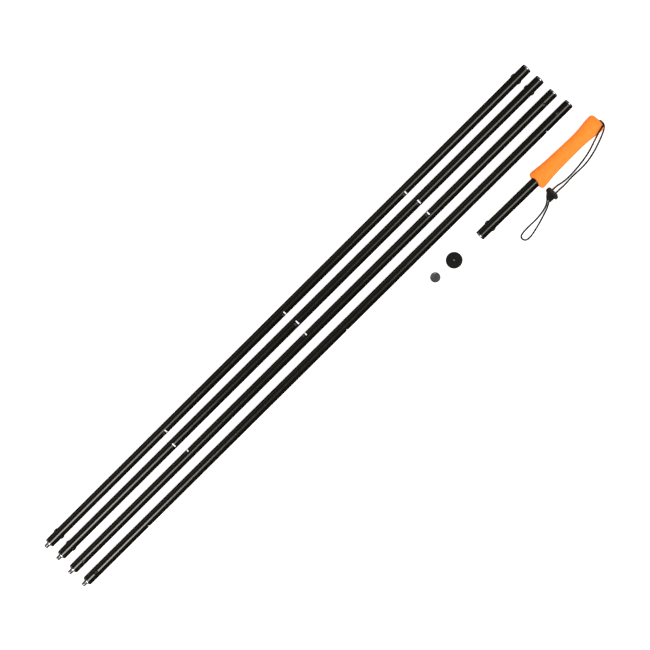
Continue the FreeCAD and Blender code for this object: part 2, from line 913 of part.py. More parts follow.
def make_spring(label):
    """Small compression spring between the barrel's closed end and the plunger."""
    coil = doc.addObject("Part::Helix", f"{label}_coil")
    bind(coil, "Radius", s.spring_width / 2)
    bind(coil, "Pitch", (s.spring_span - s.spring_wire) / 3.5)
    bind(coil, "Height", s.spring_span - s.spring_wire)
    section = doc.addObject("Part::Circle", f"{label}_section")
    section.Placement = Placement(Vector(0, 0, 0), Rotation(Vector(1, 0, 0), 90))
    bind(section, "Radius", s.spring_wire / 2)
    bind(section, "Placement.Base.x", s.spring_width / 2)
    doc.recompute()
    spring = doc.addObject("Part::Sweep", label)
    spring.Label = label
    spring.Sections = [section]
    spring.Spine = (coil, [f"Edge{n}" for n in range(1, len(coil.Shape.Edges) + 1)])
    spring.Solid = True
    spring.Frenet = True
    doc.recompute()
    place(
        spring,
        s.lock_east,
        plunger_tip + s.spring_wire / 2 + 0.1,
        lock_r,
        Vector(1, 0, 0),
        fixed(-90.0),
    )
    return spring


nodes.append(make_lock_body("lock_body"))
nodes.append(make_plunger("lock_plunger"))
nodes.append(make_spring("lock_spring"))

# ---------------------------------------------------------------------------------------------
# Loose screw-on ends: a broad push pad and a thread cap, each standing on its hub
# ---------------------------------------------------------------------------------------------


def make_end(label, width, thick, hub, rise, east, north, edge_round):
    """Disc with a hub under it; the hub is bored from below for the insert."""
    disc_r = width / 2
    hub_r = hub / 2
    insert_r = s.insert_width / 2
    pocket_top = s.insert_span + 0.6
    body = new_body(label)
    solid = turned(
        body,
        "turning",
        [
            (insert_r + 0.05, ZERO),
            (hub_r - 0.6, ZERO),
            (hub_r, fixed(0.6)),
            (hub_r, rise - thick),
            (disc_r - 0.7, rise - thick),
            (disc_r, rise - thick + 0.7),
            (disc_r, rise),
            (ZERO, rise),
            (ZERO, pocket_top),
            (insert_r + 0.05, pocket_top),
        ],
        role="XZ_Plane",
        axis="V_Axis",
    )
    rounded(body, "edge", solid, rims(solid, "z", rise.number, disc_r.number), fixed(edge_round))
    place(body, east, north, ZERO)
    return body


def make_insert(label, east, north):
    """Threaded insert, standing 0.4 mm inside the hub."""
    insert_r = s.insert_width / 2
    low = fixed(0.4)
    high = low + s.insert_span
    body = new_body(label)
    turned(
        body,
        "turning",
        [
            (socket_r + s.socket_lead, low),
            (insert_r - 0.5, low),
            (insert_r, low + 0.5),
            (insert_r, high),
            (socket_r, high),
            (socket_r, low + s.socket_lead),
        ],
        role="XZ_Plane",
        axis="V_Axis",
    )
    place(body, east, north, ZERO)
    return body


pad = make_end(
    "push_pad", s.pad_width, s.pad_thick, s.pad_hub, s.pad_rise, s.pad_east, s.pad_north, 1.0
)
ring_r = s.pad_width * 0.41
turned(
    pad,
    "ring_groove",
    [
        (ring_r - 0.5, s.pad_rise - 0.4),
        (ring_r + 0.5, s.pad_rise - 0.4),
        (ring_r + 0.9, s.pad_rise + 0.2),
        (ring_r - 0.9, s.pad_rise + 0.2),
    ],
    role="XZ_Plane",
    axis="V_Axis",
    cut=True,
)
cap = make_end(
    "thread_cap", s.cap_width, s.cap_thick, s.cap_hub, s.cap_rise, s.cap_east, s.cap_north, 1.6
)
nodes.extend([pad, make_insert("push_pad_insert", s.pad_east, s.pad_north)])
nodes.extend([cap, make_insert("thread_cap_insert", s.cap_east, s.cap_north)])

# ---------------------------------------------------------------------------------------------
# Checks and export
# ---------------------------------------------------------------------------------------------

doc.recompute()
faults = [item.Label for item in doc.Objects if "Invalid" in item.State or "Error" in item.State]
if faults:
    raise RuntimeError(f"features failed: {faults}")
for node in nodes:
    if node.Shape.isNull() or not node.Shape.isValid() or not node.Shape.Solids:
        raise RuntimeError(f"{node.Label} has no valid solid")

os.makedirs("parts", exist_ok=True)
for node in nodes:
    node.Shape.exportStep(f"parts/{node.Label}.step")
    box = node.Shape.BoundBox
    print(
        f"{node.Label:24s} solids {len(node.Shape.Solids)} volume {node.Shape.Volume:10.1f}"
        f"  x {box.XMin:8.2f} {box.XMax:8.2f}  y {box.YMin:8.2f} {box.YMax:8.2f}"
        f"  z {box.ZMin:6.2f} {box.ZMax:6.2f}"
    )
print(len(nodes), "nodes")
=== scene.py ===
import json
import math

import bpy
import numpy as np
from mathutils import Matrix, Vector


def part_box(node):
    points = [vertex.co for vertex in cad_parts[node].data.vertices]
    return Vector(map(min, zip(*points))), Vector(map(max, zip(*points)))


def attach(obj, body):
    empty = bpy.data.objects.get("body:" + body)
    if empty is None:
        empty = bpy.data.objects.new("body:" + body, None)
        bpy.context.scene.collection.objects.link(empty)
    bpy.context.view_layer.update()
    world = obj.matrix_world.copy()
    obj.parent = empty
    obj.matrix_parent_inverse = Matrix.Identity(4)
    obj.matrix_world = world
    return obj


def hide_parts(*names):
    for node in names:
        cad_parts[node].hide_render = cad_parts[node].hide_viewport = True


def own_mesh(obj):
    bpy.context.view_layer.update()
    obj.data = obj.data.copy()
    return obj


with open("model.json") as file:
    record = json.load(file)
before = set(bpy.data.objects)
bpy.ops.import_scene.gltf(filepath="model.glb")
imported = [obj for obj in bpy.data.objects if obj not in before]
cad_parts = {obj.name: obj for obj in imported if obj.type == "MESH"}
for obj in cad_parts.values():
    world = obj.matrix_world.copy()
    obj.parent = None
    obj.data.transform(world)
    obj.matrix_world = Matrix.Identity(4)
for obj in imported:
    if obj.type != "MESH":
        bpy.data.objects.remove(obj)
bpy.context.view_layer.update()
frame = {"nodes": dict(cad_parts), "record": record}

bl_info = {
    "name": "Sectional pole set",
    "version": (1, 0, 0),
    "blender": (4, 5, 0),
    "location": "View3D > Sidebar > Pole set",
    "description": "Builds the looks of a screw-together pole set with its grip, lanyard and screw-on ends",
    "category": "Object",
}

NODES = frame["nodes"]
SECTIONS = (1, 2, 3, 4)
MM = 0.001
TAU = 2.0 * math.pi
EAST = np.array((1.0, 0.0, 0.0))
NORTH = np.array((0.0, 1.0, 0.0))
UP = np.array((0.0, 0.0, 1.0))

# Sizes that several pieces share, in millimetres. The grip section's lengths run from its flange's
# face, and MOUNT_DEPTH is how far behind that face the socket's mount lies.
TUBE_RADIUS = 9.0
TUBE_INSIDE = 7.8
FLANGE_THICK = 3.0
PLUG_RADIUS = 7.68
PLUG_SPAN = 37.0
MOUNT_DEPTH = 7.4
GRIP_TUBE_SPAN = 277.5
GRIP_START = 135.4

# The lanyard's route, in metres: out of the butt, over the grip's corner, along the floor through
# the cord lock, round the wrist loop and back through the lock into the butt.
ROUTE = (
    (0.61249, -0.076555, 0.0190),
    (0.62035, -0.076626, 0.0190),
    (0.6205, -0.0846, 0.0212),
    (0.6194, -0.0900, 0.0262),
    (0.6108, -0.0918, 0.0298),
    (0.6031, -0.0932, 0.0258),
    (0.5951, -0.0950, 0.0195),
    (0.5871, -0.0966, 0.0120),
    (0.5791, -0.0989, 0.0060),
    (0.5701, -0.1013, 0.0024),
    (0.5586, -0.1036, 0.0015),
    (0.5446, -0.1059, 0.0015),
    (0.5286, -0.1073, 0.0015),
    (0.5166, -0.1078, 0.0015),
    (0.5061, -0.1075, 0.0015),
    (0.4971, -0.1063, 0.0026),
    (0.4874, -0.1044, 0.0055),
    (0.4647, -0.1044, 0.0055),
    (0.4591, -0.1110, 0.0056),
    (0.4511, -0.1162, 0.0046),
    (0.4421, -0.1185, 0.0022),
    (0.4326, -0.1200, 0.0015),
    (0.4196, -0.1210, 0.0015),
    (0.4046, -0.1204, 0.0015),
    (0.3909, -0.1208, 0.0015),
    (0.3822, -0.1226, 0.0015),
    (0.3802, -0.1295, 0.0015),
    (0.3846, -0.1351, 0.0015),
    (0.3936, -0.1358, 0.0015),
    (0.4056, -0.1335, 0.0015),
    (0.4186, -0.1302, 0.0015),
    (0.4296, -0.1269, 0.0015),
    (0.4381, -0.1240, 0.0015),
    (0.4471, -0.1210, 0.0015),
    (0.4551, -0.1173, 0.0030),
    (0.4626, -0.1126, 0.0055),
    (0.4876, -0.1126, 0.0055),
    (0.4951, -0.1129, 0.0030),
    (0.5026, -0.1125, 0.0015),
    (0.5126, -0.1118, 0.0015),
    (0.5236, -0.1115, 0.0015),
    (0.5376, -0.1124, 0.0015),
    (0.5516, -0.1121, 0.0015),
    (0.5656, -0.1099, 0.0015),
    (0.5786, -0.1067, 0.0015),
    (0.5906, -0.1026, 0.0015),
    (0.6001, -0.0992, 0.0026),
    (0.6081, -0.0962, 0.0058),
    (0.6151, -0.0930, 0.0092),
    (0.6206, -0.0884, 0.0124),
    (0.6206, -0.0834, 0.0148),
    (0.62035, -0.076626, 0.0157),
    (0.61249, -0.076555, 0.0157),
)

# Printed length marks: distance from the stud's tip, and the turn about the pole, from the top
# towards the grip section's side, at which each mark starts, in millimetres and degrees.
MARKS = {
    1: ((307.0, 26.0), (609.0, 26.0), (912.5, 26.0)),
    2: ((299.0, 2.0), (612.0, 2.0), (916.0, 4.0)),
    3: ((311.0, -70.0), (609.0, -62.0), (913.5, -50.0)),
    4: ((162.0, 66.0), (662.0, 66.0), (1156.0, 66.0)),
}

# The sections with figures beside their marks, and how far towards the stud a figure stands.
FIGURED = (1, 2, 3)
FIGURE_OFFSET = 5.4

# Plain figures as pen strokes in a box one wide and one high.
FIGURES = {
    1: ((0.22, 0.76), (0.55, 1.0), (0.55, 0.0)),
    2: (
        (0.10, 0.76), (0.22, 0.94), (0.50, 1.0), (0.80, 0.92), (0.88, 0.72), (0.74, 0.48), (0.10, 0.0),
        (0.92, 0.0),
    ),
    3: (
        (0.12, 0.88), (0.42, 1.0), (0.76, 0.92), (0.84, 0.74), (0.70, 0.56), (0.42, 0.52), (0.74, 0.46),
        (0.90, 0.26), (0.76, 0.06), (0.42, 0.0), (0.10, 0.12),
    ),
}

# Grip: distance behind its front face and radius, in millimetres, between its two end rounds.
GRIP_SPAN = 152.0
GRIP_FLARE = 17.35
GRIP_WAIST = 13.3
GRIP_BUTT = 16.95
GRIP_FRONT = ((0.055, 0.99), (0.08, 0.91), (0.13, 0.70), (0.22, 0.37), (0.40, 0.17))
GRIP_REAR = ((0.62, 0.0), (0.75, 0.14), (0.82, 0.47), (0.88, 0.81), (0.925, 0.96))


def box_of(node):
    """Lowest and highest corner of a CAD node, as arrays in metres."""
    low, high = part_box(node)
    return np.array(low), np.array(high)


def end_of(node, side):
    """Middle of the face of a CAD node's box at its low (0) or high (1) end along X."""
    corners = box_of(node)
    middle = (corners[0] + corners[1]) / 2
    middle[0] = corners[side][0]
    return middle


def foot_of(node):
    """Middle of the underside of a CAD node's box."""
    low, high = box_of(node)
    return np.array(((low[0] + high[0]) / 2, (low[1] + high[1]) / 2, low[2]))


def mount_of(name):
    """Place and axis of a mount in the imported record, as arrays."""
    for mount in frame["record"]["mounts"]:
        if mount["name"] == name:
            return np.array(mount["pos_m"], float), np.array(mount["axis"], float)
    raise RuntimeError(f"the record has no mount named {name}")


# ---- Surfaces: whole arrays of points, and the faces between them ----


def unit(vectors):
    """Vectors divided by their lengths."""
    return vectors / np.linalg.norm(vectors, axis=-1, keepdims=True)


def grid_faces(rows, columns, wrap_rows=False):
    """Four corners of each cell of a grid of points stored row by row; the columns join up, and so
    do wrapped rows."""
    last_row = rows if wrap_rows else rows - 1
    row, column = np.meshgrid(np.arange(last_row), np.arange(columns), indexing="ij")
    here = row * columns
    below = (row + 1) % rows * columns
    beside = (column + 1) % columns
    corners = (here + column, here + beside, below + beside, below + column)
    return np.stack([corner.ravel() for corner in corners], axis=1)


def signed_volume(points, quads, fans):
    """Sum over the faces of the corner triple products: positive when the faces look outwards."""
    triangles = np.concatenate([quads[:, (0, 1, 2)], quads[:, (0, 2, 3)], fans])
    a, b, c = (points[triangles[:, corner]] for corner in range(3))
    return float(np.einsum("ij,ij->i", a, np.cross(b, c)).sum()) / 6.0


class Skin:
    """A closed surface: points, four-sided faces, three-sided faces and one value set per point."""

    def __init__(self, points, quads, fans=None, marks=None):
        self.points = np.asarray(points, float)
        self.quads = np.asarray(quads, int).reshape(-1, 4)
        self.fans = np.zeros((0, 3), int) if fans is None else np.asarray(fans, int).reshape(-1, 3)
        self.marks = marks or {}
        middle = self.points.mean(0)
        if signed_volume(self.points - middle, self.quads, self.fans) < 0:
            self.quads = self.quads[:, ::-1]
            self.fans = self.fans[:, ::-1]


def capped(grid, marks=None, wrap_rows=False):
    """A grid of points, rows by columns by three, joined round its columns; unless its rows join up
    too, each end row is closed by a fan of triangles to the row's mean point."""
    rows, columns = grid.shape[:2]
    points = grid.reshape(-1, 3)
    quads = grid_faces(rows, columns, wrap_rows=wrap_rows)
    values = {name: np.asarray(value, float).reshape(-1) for name, value in (marks or {}).items()}
    fans = []
    if not wrap_rows:
        around = np.arange(columns)
        beside = (around + 1) % columns
        for end, row in enumerate((0, rows - 1)):
            centre = np.full(columns, len(points))
            points = np.concatenate([points, grid[row].mean(0)[None]])
            ring = row * columns
            pair = (ring + beside, ring + around) if end == 0 else (ring + around, ring + beside)
            fans.append(np.stack([*pair, centre], axis=1))
            values = {
                name: np.append(value, value[ring:ring + columns].mean()) for name, value in values.items()
            }
    return Skin(points, quads, np.concatenate(fans) if fans else None, values)


def softened(corners, closed=False, steps=5):
    """A polyline of (along, radius, round, parts) corners in millimetres with each corner of a
    positive round replaced by an arc of that radius, and a point either side of it. Parts divides
    the run after a corner. Returns the profile in metres and its edge value: 1 on the arcs, else 0."""
    count = len(corners)
    points = []
    edges = []
    for index, corner in enumerate(corners):
        here = np.array(corner[:2], float)
        bend = corner[2] if len(corner) > 2 else 0.0
        inside = closed or 0 < index < count - 1
        if bend > 0 and inside:
            back = np.array(corners[index - 1][:2], float) - here
            ahead = np.array(corners[(index + 1) % count][:2], float) - here
            reach = (np.linalg.norm(back), np.linalg.norm(ahead))
            back, ahead = back / reach[0], ahead / reach[1]
            opening = math.acos(float(np.clip(back @ ahead, -1, 1)))
            run = bend / math.tan(opening / 2)
            middle = here + unit(back + ahead) * bend / math.sin(opening / 2)
            first, last = here + back * run - middle, here + ahead * run - middle
            share = np.linspace(0.0, 1.0, steps)[:, None]
            arc = middle + bend * unit(first * (1 - share) + last * share)
            lead = min(bend, 0.3 * (reach[0] - run))
            trail = min(bend, 0.3 * (reach[1] - run))
            points += [here + back * (run + lead), *arc, here + ahead * (run + trail)]
            edges += [0.0] + [1.0] * steps + [0.0]
        else:
            points.append(here)
            edges.append(0.0)
        parts = corner[3] if len(corner) > 3 else 1
        if parts > 1:
            following = np.array(corners[(index + 1) % count][:2], float)
            between = np.linspace(0.0, 1.0, parts + 1)[1:-1, None]
            points += list(points[-1] * (1 - between) + following * between)
            edges += [0.0] * (parts - 1)
    return np.array(points) * MM, np.array(edges)


def turned(profile, at, axis, around=96, reference=UP, ripple=None, closed=False, edge=None):
    """A profile of (along, radius) turned about an axis: the point on the axis at that height plus
    the radius times the unit circle at the angle. A ripple adds to the heights and radii. The ends of
    an open profile are closed by poles; a closed profile makes a ring. No radius is under 0.02 mm."""
    axis = unit(np.asarray(axis, float))
    first = unit(reference - (reference @ axis) * axis)
    second = np.cross(axis, first)
    angle = np.arange(around) * TAU / around
    height = np.repeat(profile[:, :1], around, axis=1)
    radius = np.repeat(profile[:, 1:2], around, axis=1)
    turn = np.repeat(angle[None], len(profile), axis=0)
    values = {}
    if edge is not None:
        values["edge"] = np.repeat(np.asarray(edge, float)[:, None], around, axis=1)
    if ripple is not None:
        add_height, add_radius, more = ripple(height, radius, turn)
        height = height + add_height
        radius = radius + add_radius
        values.update(more)
    radius = np.maximum(radius, 0.02 * MM)
    circle = np.cos(turn)[..., None] * first + np.sin(turn)[..., None] * second
    grid = np.asarray(at, float) + height[..., None] * axis + radius[..., None] * circle
    return capped(grid, values, wrap_rows=closed)


def thread_ripple(start, end, pitch, depth, outward):
    """Adds a right-hand thread between two heights: a trapezium wave of height over pitch less the
    share of a turn, fading in and out over one pitch; outward cuts the groove below the surface."""

    def ripple(height, radius, turn):
        phase = (height / pitch - turn / TAU) % 1.0
        wave = np.clip(2.4 * np.abs(2.0 * phase - 1.0) - 0.7, 0.0, 1.0)
        inside = np.clip((height - start) / pitch, 0, 1) * np.clip((end - height) / pitch, 0, 1)
        within = (height > start) & (height < end)
        cut = (1.0 - wave) * inside * within
        return np.zeros_like(height), (-depth if outward else depth) * cut, {"root": cut}

    return ripple


def bore_thread(end, sizes):
    """Thread of a hole that reaches an end height: cut outwards from the hole's wall, and nowhere
    else."""
    cut = thread_ripple(0.6 * MM, end, sizes.thread_pitch, sizes.thread_depth * 0.85, False)

    def ripple(height, radius, turn):
        add_height, add_radius, more = cut(height, radius, turn)
        wall = radius < 3.6 * MM
        return add_height, add_radius * wall, {"root": more["root"] * wall}

    return ripple


def carried(path, radius, up=UP, marks=None, closed=False):
    """A ring carried along a path: the path point plus the radius, which may differ at each row and
    angle, times the unit circle across the path's direction. Open ends get poles."""
    if closed:
        ahead = np.roll(path, -1, axis=0) - np.roll(path, 1, axis=0)
    else:
        ahead = np.gradient(path, axis=0)
    ahead = unit(ahead)
    side = unit(np.cross(ahead, up))
    rise = np.cross(side, ahead)
    angle = np.arange(radius.shape[1]) * TAU / radius.shape[1]
    circle = np.cos(angle)[None, :, None] * side[:, None] + np.sin(angle)[None, :, None] * rise[:, None]
    return capped(path[:, None] + radius[..., None] * circle, marks, wrap_rows=closed)


def even_steps(path, step, closed=False):
    """Points at equal distances along a path, by linear interpolation over the length run."""
    if closed:
        path = np.concatenate([path, path[:1]])
    run = np.append(0.0, np.cumsum(np.linalg.norm(np.diff(path, axis=0), axis=1)))
    count = max(4, int(round(run[-1] / step)))
    at = np.linspace(0.0, run[-1], count + 1)
    if closed:
        at = at[:-1]
    return np.stack([np.interp(at, run, path[:, way]) for way in range(3)], axis=1), at


def braid(along, around, diameter, strands, lay, relief):
    """Radius and crest of a round braid: two families of strands wind left and right; in each cell
    of their lattice one family lies on top in turn, and its strand is a half-circle ridge."""
    turn = np.arange(around)[None] * strands / around
    right = turn + along[:, None] / lay
    left = turn - along[:, None] / lay
    over = (np.floor(right) + np.floor(left)) % 2.0 < 0.5
    across = np.where(over, right % 1.0, left % 1.0)
    crest = np.sqrt(np.clip(1.0 - (2.0 * across - 1.0) ** 2, 0.0, 1.0))
    return diameter / 2.0 * (1.0 - relief + relief * crest), crest


def smooth_between(at, places, values):
    """Cubic curve through the values that never overshoots: slopes are the harmonic mean of the
    chords where they agree in sign, and zero elsewhere."""
    places, values = np.asarray(places, float), np.asarray(values, float)
    span = np.diff(places)
    chord = np.diff(values) / span
    product = chord[:-1] * chord[1:]
    total = np.where(np.abs(chord[:-1] + chord[1:]) < 1e-12, 1.0, chord[:-1] + chord[1:])
    slope = np.concatenate([chord[:1], np.where(product > 0, 2.0 * product / total, 0.0), chord[-1:]])
    cell = np.clip(np.searchsorted(places, at) - 1, 0, len(span) - 1)
    t = (at - places[cell]) / span[cell]
    return (
        (2 * t**3 - 3 * t**2 + 1) * values[cell]
        + (t**3 - 2 * t**2 + t) * span[cell] * slope[cell]
        + (3 * t**2 - 2 * t**3) * values[cell + 1]
        + (t**3 - t**2) * span[cell] * slope[cell + 1]
    )


def make_piece(name, skins, look, body, replaces=()):
    """One object from closed skins: its place is in its mesh, it rides on a CAD body, takes the
    finish of that name and stands for the CAD nodes it replaces."""
    offset = 0
    points, faces, names = [], [], sorted({key for skin in skins for key in skin.marks})
    values = {key: [] for key in names}
    for skin in skins:
        points.append(skin.points)
        faces += (skin.quads + offset).tolist() + (skin.fans + offset).tolist()
        for key in names:
            values[key].append(skin.marks.get(key, np.zeros(len(skin.points))))
        offset += len(skin.points)
    mesh = bpy.data.meshes.new(name)
    mesh.from_pydata(np.concatenate(points).tolist(), [], faces)
    mesh.polygons.foreach_set("use_smooth", np.ones(len(faces), bool))
    for key in names:
        attribute = mesh.attributes.new(key, "FLOAT", "POINT")
        attribute.data.foreach_set("value", np.concatenate(values[key]).astype(np.float32))
    mesh.update()
    if mesh.validate():
        raise RuntimeError(f"{name} has faces that Blender had to mend")
    piece = bpy.data.objects.new(name, mesh)
    bpy.context.scene.collection.objects.link(piece)
    mesh.materials.append(finish(look))
    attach(piece, body)
    if replaces:
        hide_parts(*replaces)
    return piece


def section_piece(number, what, skins, look, slot, *nodes):
    """A piece of one pole section, which stands for those CAD nodes of the section."""
    body = f"section_{number}"
    make_piece(f"{body}_{what}", skins, look, body, [f"{body}_{node}" for node in nodes])


def grip_piece(name, skins, look, slot, *nodes):
    """A piece of the grip section."""
    return make_piece(name, skins, look, "grip_section", list(nodes))


def dress(node, look):
    """Gives a CAD node that stays in sight its finish."""
    slots = NODES[node].data.materials
    slots.clear()
    slots.append(finish(look))


# ---- Finishes ----

GROUPS = {}
FINISHES = {}


def add(tree, kind, inputs=None, **settings):
    """A node of a kind in a tree, with its settings, and its inputs set or linked."""
    made = tree.nodes.new(kind)
    for name, value in settings.items():
        setattr(made, name, value)
    for name, value in (inputs or {}).items():
        if isinstance(value, bpy.types.NodeSocket):
            tree.links.new(value, made.inputs[name])
        else:
            made.inputs[name].default_value = value
    return made


def sums(tree, operation, first, second=0.0, clamp=False):
    """The output of one Math node."""
    return add(tree, "ShaderNodeMath", {0: first, 1: second}, operation=operation, use_clamp=clamp).outputs[0]


def remap(tree, value, low, high, to_low=0.0, to_high=1.0):
    """A value moved from one range to another, by default 0 to 1, and kept inside it."""
    inputs = {"Value": value, "From Min": low, "From Max": high, "To Min": to_low, "To Max": to_high}
    return add(tree, "ShaderNodeMapRange", inputs).outputs["Result"]


def blended(tree, share, first, second):
    """A colour between two, by share."""
    made = add(tree, "ShaderNodeMix", {0: share}, data_type="RGBA")
    for socket, value in ((made.inputs[6], first), (made.inputs[7], second)):
        if isinstance(value, bpy.types.NodeSocket):
            tree.links.new(value, socket)
        else:
            socket.default_value = (*value, 1.0)
    return made.outputs[2]


def node_group(name, inputs, outputs, fill):
    """A shader node group with named inputs and outputs; fill builds its inside."""
    group = bpy.data.node_groups.new(name, "ShaderNodeTree")
    for label, kind, default in inputs:
        socket = group.interface.new_socket(name=label, in_out="INPUT", socket_type=kind)
        if default is not None:
            socket.default_value = default
    for label, kind in outputs:
        group.interface.new_socket(name=label, in_out="OUTPUT", socket_type=kind)
    fill(group, add(group, "NodeGroupInput").outputs, add(group, "NodeGroupOutput").inputs)
    return group


def noise(tree, vector, scale, detail):
    """The output of one Noise Texture node."""
    inputs = {"Vector": vector, "Scale": scale, "Detail": detail}
    return add(tree, "ShaderNodeTexNoise", inputs).outputs["Fac"]


def fill_grain(group, given, out):
    """Grain: two sizes of noise. Shade is the coarse one, Height the sum."""
    coarse = noise(group, given["Vector"], given["Scale"], 3.0)
    fine = noise(group, given["Vector"], sums(group, "MULTIPLY", given["Scale"], 3.7), 2.0)
    part = sums(group, "MULTIPLY", fine, given["Fine"])
    group.links.new(coarse, out["Shade"])
    group.links.new(sums(group, "ADD", coarse, part), out["Height"])


def fill_streaks(group, given, out):
    """Streaks: noise squeezed along one way, so that it draws lines along the other."""
    inputs = {0: given["Vector"], 1: given["Squeeze"]}
    squeezed = add(group, "ShaderNodeVectorMath", inputs, operation="MULTIPLY").outputs[0]
    group.links.new(noise(group, squeezed, 1.0, 4.0), out["Line"])


def fill_wear(group, given, out):
    """Wear: where the edge value is high and a noise is above its threshold."""
    patch = remap(group, noise(group, given["Vector"], given["Scale"], 4.0), 0.42, 0.62)
    worn = sums(group, "MULTIPLY", patch, given["Edge"], clamp=True)
    group.links.new(sums(group, "MULTIPLY", worn, given["Amount"], clamp=True), out["Mask"])


def fill_dust(group, given, out):
    """Dust: sparse soft patches, more of them where the surface looks up."""
    patch = remap(group, noise(group, given["Vector"], given["Scale"], 5.0), 0.45, 0.75)
    level = add(group, "ShaderNodeSeparateXYZ", {0: add(group, "ShaderNodeNewGeometry").outputs["Normal"]})
    top = remap(group, level.outputs["Z"], -0.2, 1.0, 0.15, 1.0)
    share = sums(group, "MULTIPLY", patch, top)
    group.links.new(sums(group, "MULTIPLY", share, given["Amount"], clamp=True), out["Mask"])


def shared_group(name):
    """One of the shared effects, made when it is first asked for."""
    vector = ("Vector", "NodeSocketVector", None)
    amount = ("Amount", "NodeSocketFloat", 0.5)
    scale = ("Scale", "NodeSocketFloat", 500.0)
    mask = (("Mask", "NodeSocketFloat"),)
    plans = {
        "grain": (
            (vector, scale, ("Fine", "NodeSocketFloat", 0.4)),
            (("Shade", "NodeSocketFloat"), ("Height", "NodeSocketFloat")),
            fill_grain,
        ),
        "streaks": (
            (vector, ("Squeeze", "NodeSocketVector", (10.0, 900.0, 900.0))),
            (("Line", "NodeSocketFloat"),),
            fill_streaks,
        ),
        "wear": ((vector, scale, ("Edge", "NodeSocketFloat", 0.0), amount), mask, fill_wear),
        "dust": ((vector, scale, amount), mask, fill_dust),
    }
    if name not in GROUPS:
        GROUPS[name] = node_group(name, *plans[name])
    return GROUPS[name]


class Look:
    """A finish while it is made: its material, tree, shader and Object coordinates."""

    def __init__(self, name, **constants):
        """The constants go on the shader's inputs of those names."""
        self.made = bpy.data.materials.new(name)
        self.made.use_nodes = True
        self.tree = self.made.node_tree
        self.shader = self.tree.nodes["Principled BSDF"]
        for label, value in constants.items():
            self.shader.inputs[label.replace("_", " ").title().replace("Ior", "IOR")].default_value = value
        self.place = add(self.tree, "ShaderNodeTexCoord").outputs["Object"]

    def effect(self, name, **inputs):
        """The outputs of a shared effect at the Object coordinates."""
        inputs["Vector"] = self.place
        return add(self.tree, "ShaderNodeGroup", inputs, node_tree=shared_group(name)).outputs

    def value(self, name):
        """A per-point value of the piece."""
        return add(self.tree, "ShaderNodeAttribute", attribute_name=name).outputs["Fac"]

    def worn(self, scale, amount):
        """Mask of the rubbed edges."""
        return self.effect("wear", Scale=scale, Edge=self.value("edge"), Amount=amount)["Mask"]

    def feed(self, label, value):
        """Links a value to one of the shader's inputs."""
        self.tree.links.new(value, self.shader.inputs[label])

    def relief(self, height, strength, distance):
        """Feeds a height through a Bump node into the shader's Normal."""
        inputs = {"Height": height, "Strength": strength, "Distance": distance}
        self.feed("Normal", add(self.tree, "ShaderNodeBump", inputs).outputs["Normal"])


def shaded(colour, share, more=0.0):
    """A colour times a share plus a little more, in each part, and no part over one."""
    return tuple(min(1.0, part * share + more) for part in colour)


def weighed(tree, first, first_share, second, second_share):
    """Sum of two values, each times its share."""
    parts = [sums(tree, "MULTIPLY", *pair) for pair in ((first, first_share), (second, second_share))]
    return sums(tree, "ADD", *parts)


def coat_finish(name, colour, rough=0.17, along=EAST):
    """Semi-gloss black coat on drawn tube: faint lines along it, orange peel, dust and rubbed ends."""
    look = Look(name, specular_ior_level=0.5, specular_tint=(1.0, 0.95, 0.87, 1.0))
    tree = look.tree
    squeeze = tuple(8.0 if way > 0.5 else 1400.0 for way in np.abs(along))
    lines = look.effect("streaks", Squeeze=squeeze)["Line"]
    peel = look.effect("grain", Scale=900.0, Fine=0.5)
    dust = look.effect("dust", Scale=90.0, Amount=0.08)["Mask"]
    base = blended(tree, remap(tree, lines, 0.35, 0.65), shaded(colour, 0.7), shaded(colour, 1.35))
    dusty = blended(tree, dust, base, (0.02, 0.0185, 0.016))
    look.feed("Base Color", blended(tree, look.worn(900.0, 0.5), dusty, (0.09, 0.09, 0.09)))
    gloss = remap(tree, peel["Shade"], 0.3, 0.7, rough - 0.05, rough + 0.06)
    look.feed("Roughness", sums(tree, "ADD", gloss, sums(tree, "MULTIPLY", dust, 0.3)))
    look.relief(weighed(tree, lines, 0.6, peel["Height"], 0.5), 0.25, 0.00002)
    return look.made


def turned_finish(name, colour, rough=0.2):
    """Bright turned metal: lathe lines round the axis, small stains, and painted shade in the thread roots.
    """
    look = Look(name, metallic=1.0)
    tree = look.tree
    rings = look.effect("streaks", Squeeze=(5200.0, 60.0, 60.0))["Line"]
    stain = look.effect("grain", Scale=350.0, Fine=0.5)["Shade"]
    root = look.value("root")
    base = blended(tree, remap(tree, stain, 0.38, 0.68), colour, shaded(colour, 0.8))
    # Painted shade: the thread roots are painted darker.
    look.feed("Base Color", blended(tree, remap(tree, root, 0.2, 1.0, 0.0, 0.5), base, (0.05, 0.048, 0.045)))
    gloss = remap(tree, rings, 0.3, 0.7, rough - 0.05, rough + 0.09)
    look.feed("Roughness", sums(tree, "ADD", gloss, sums(tree, "MULTIPLY", root, 0.3)))
    look.relief(rings, 0.22, 0.00002)
    return look.made


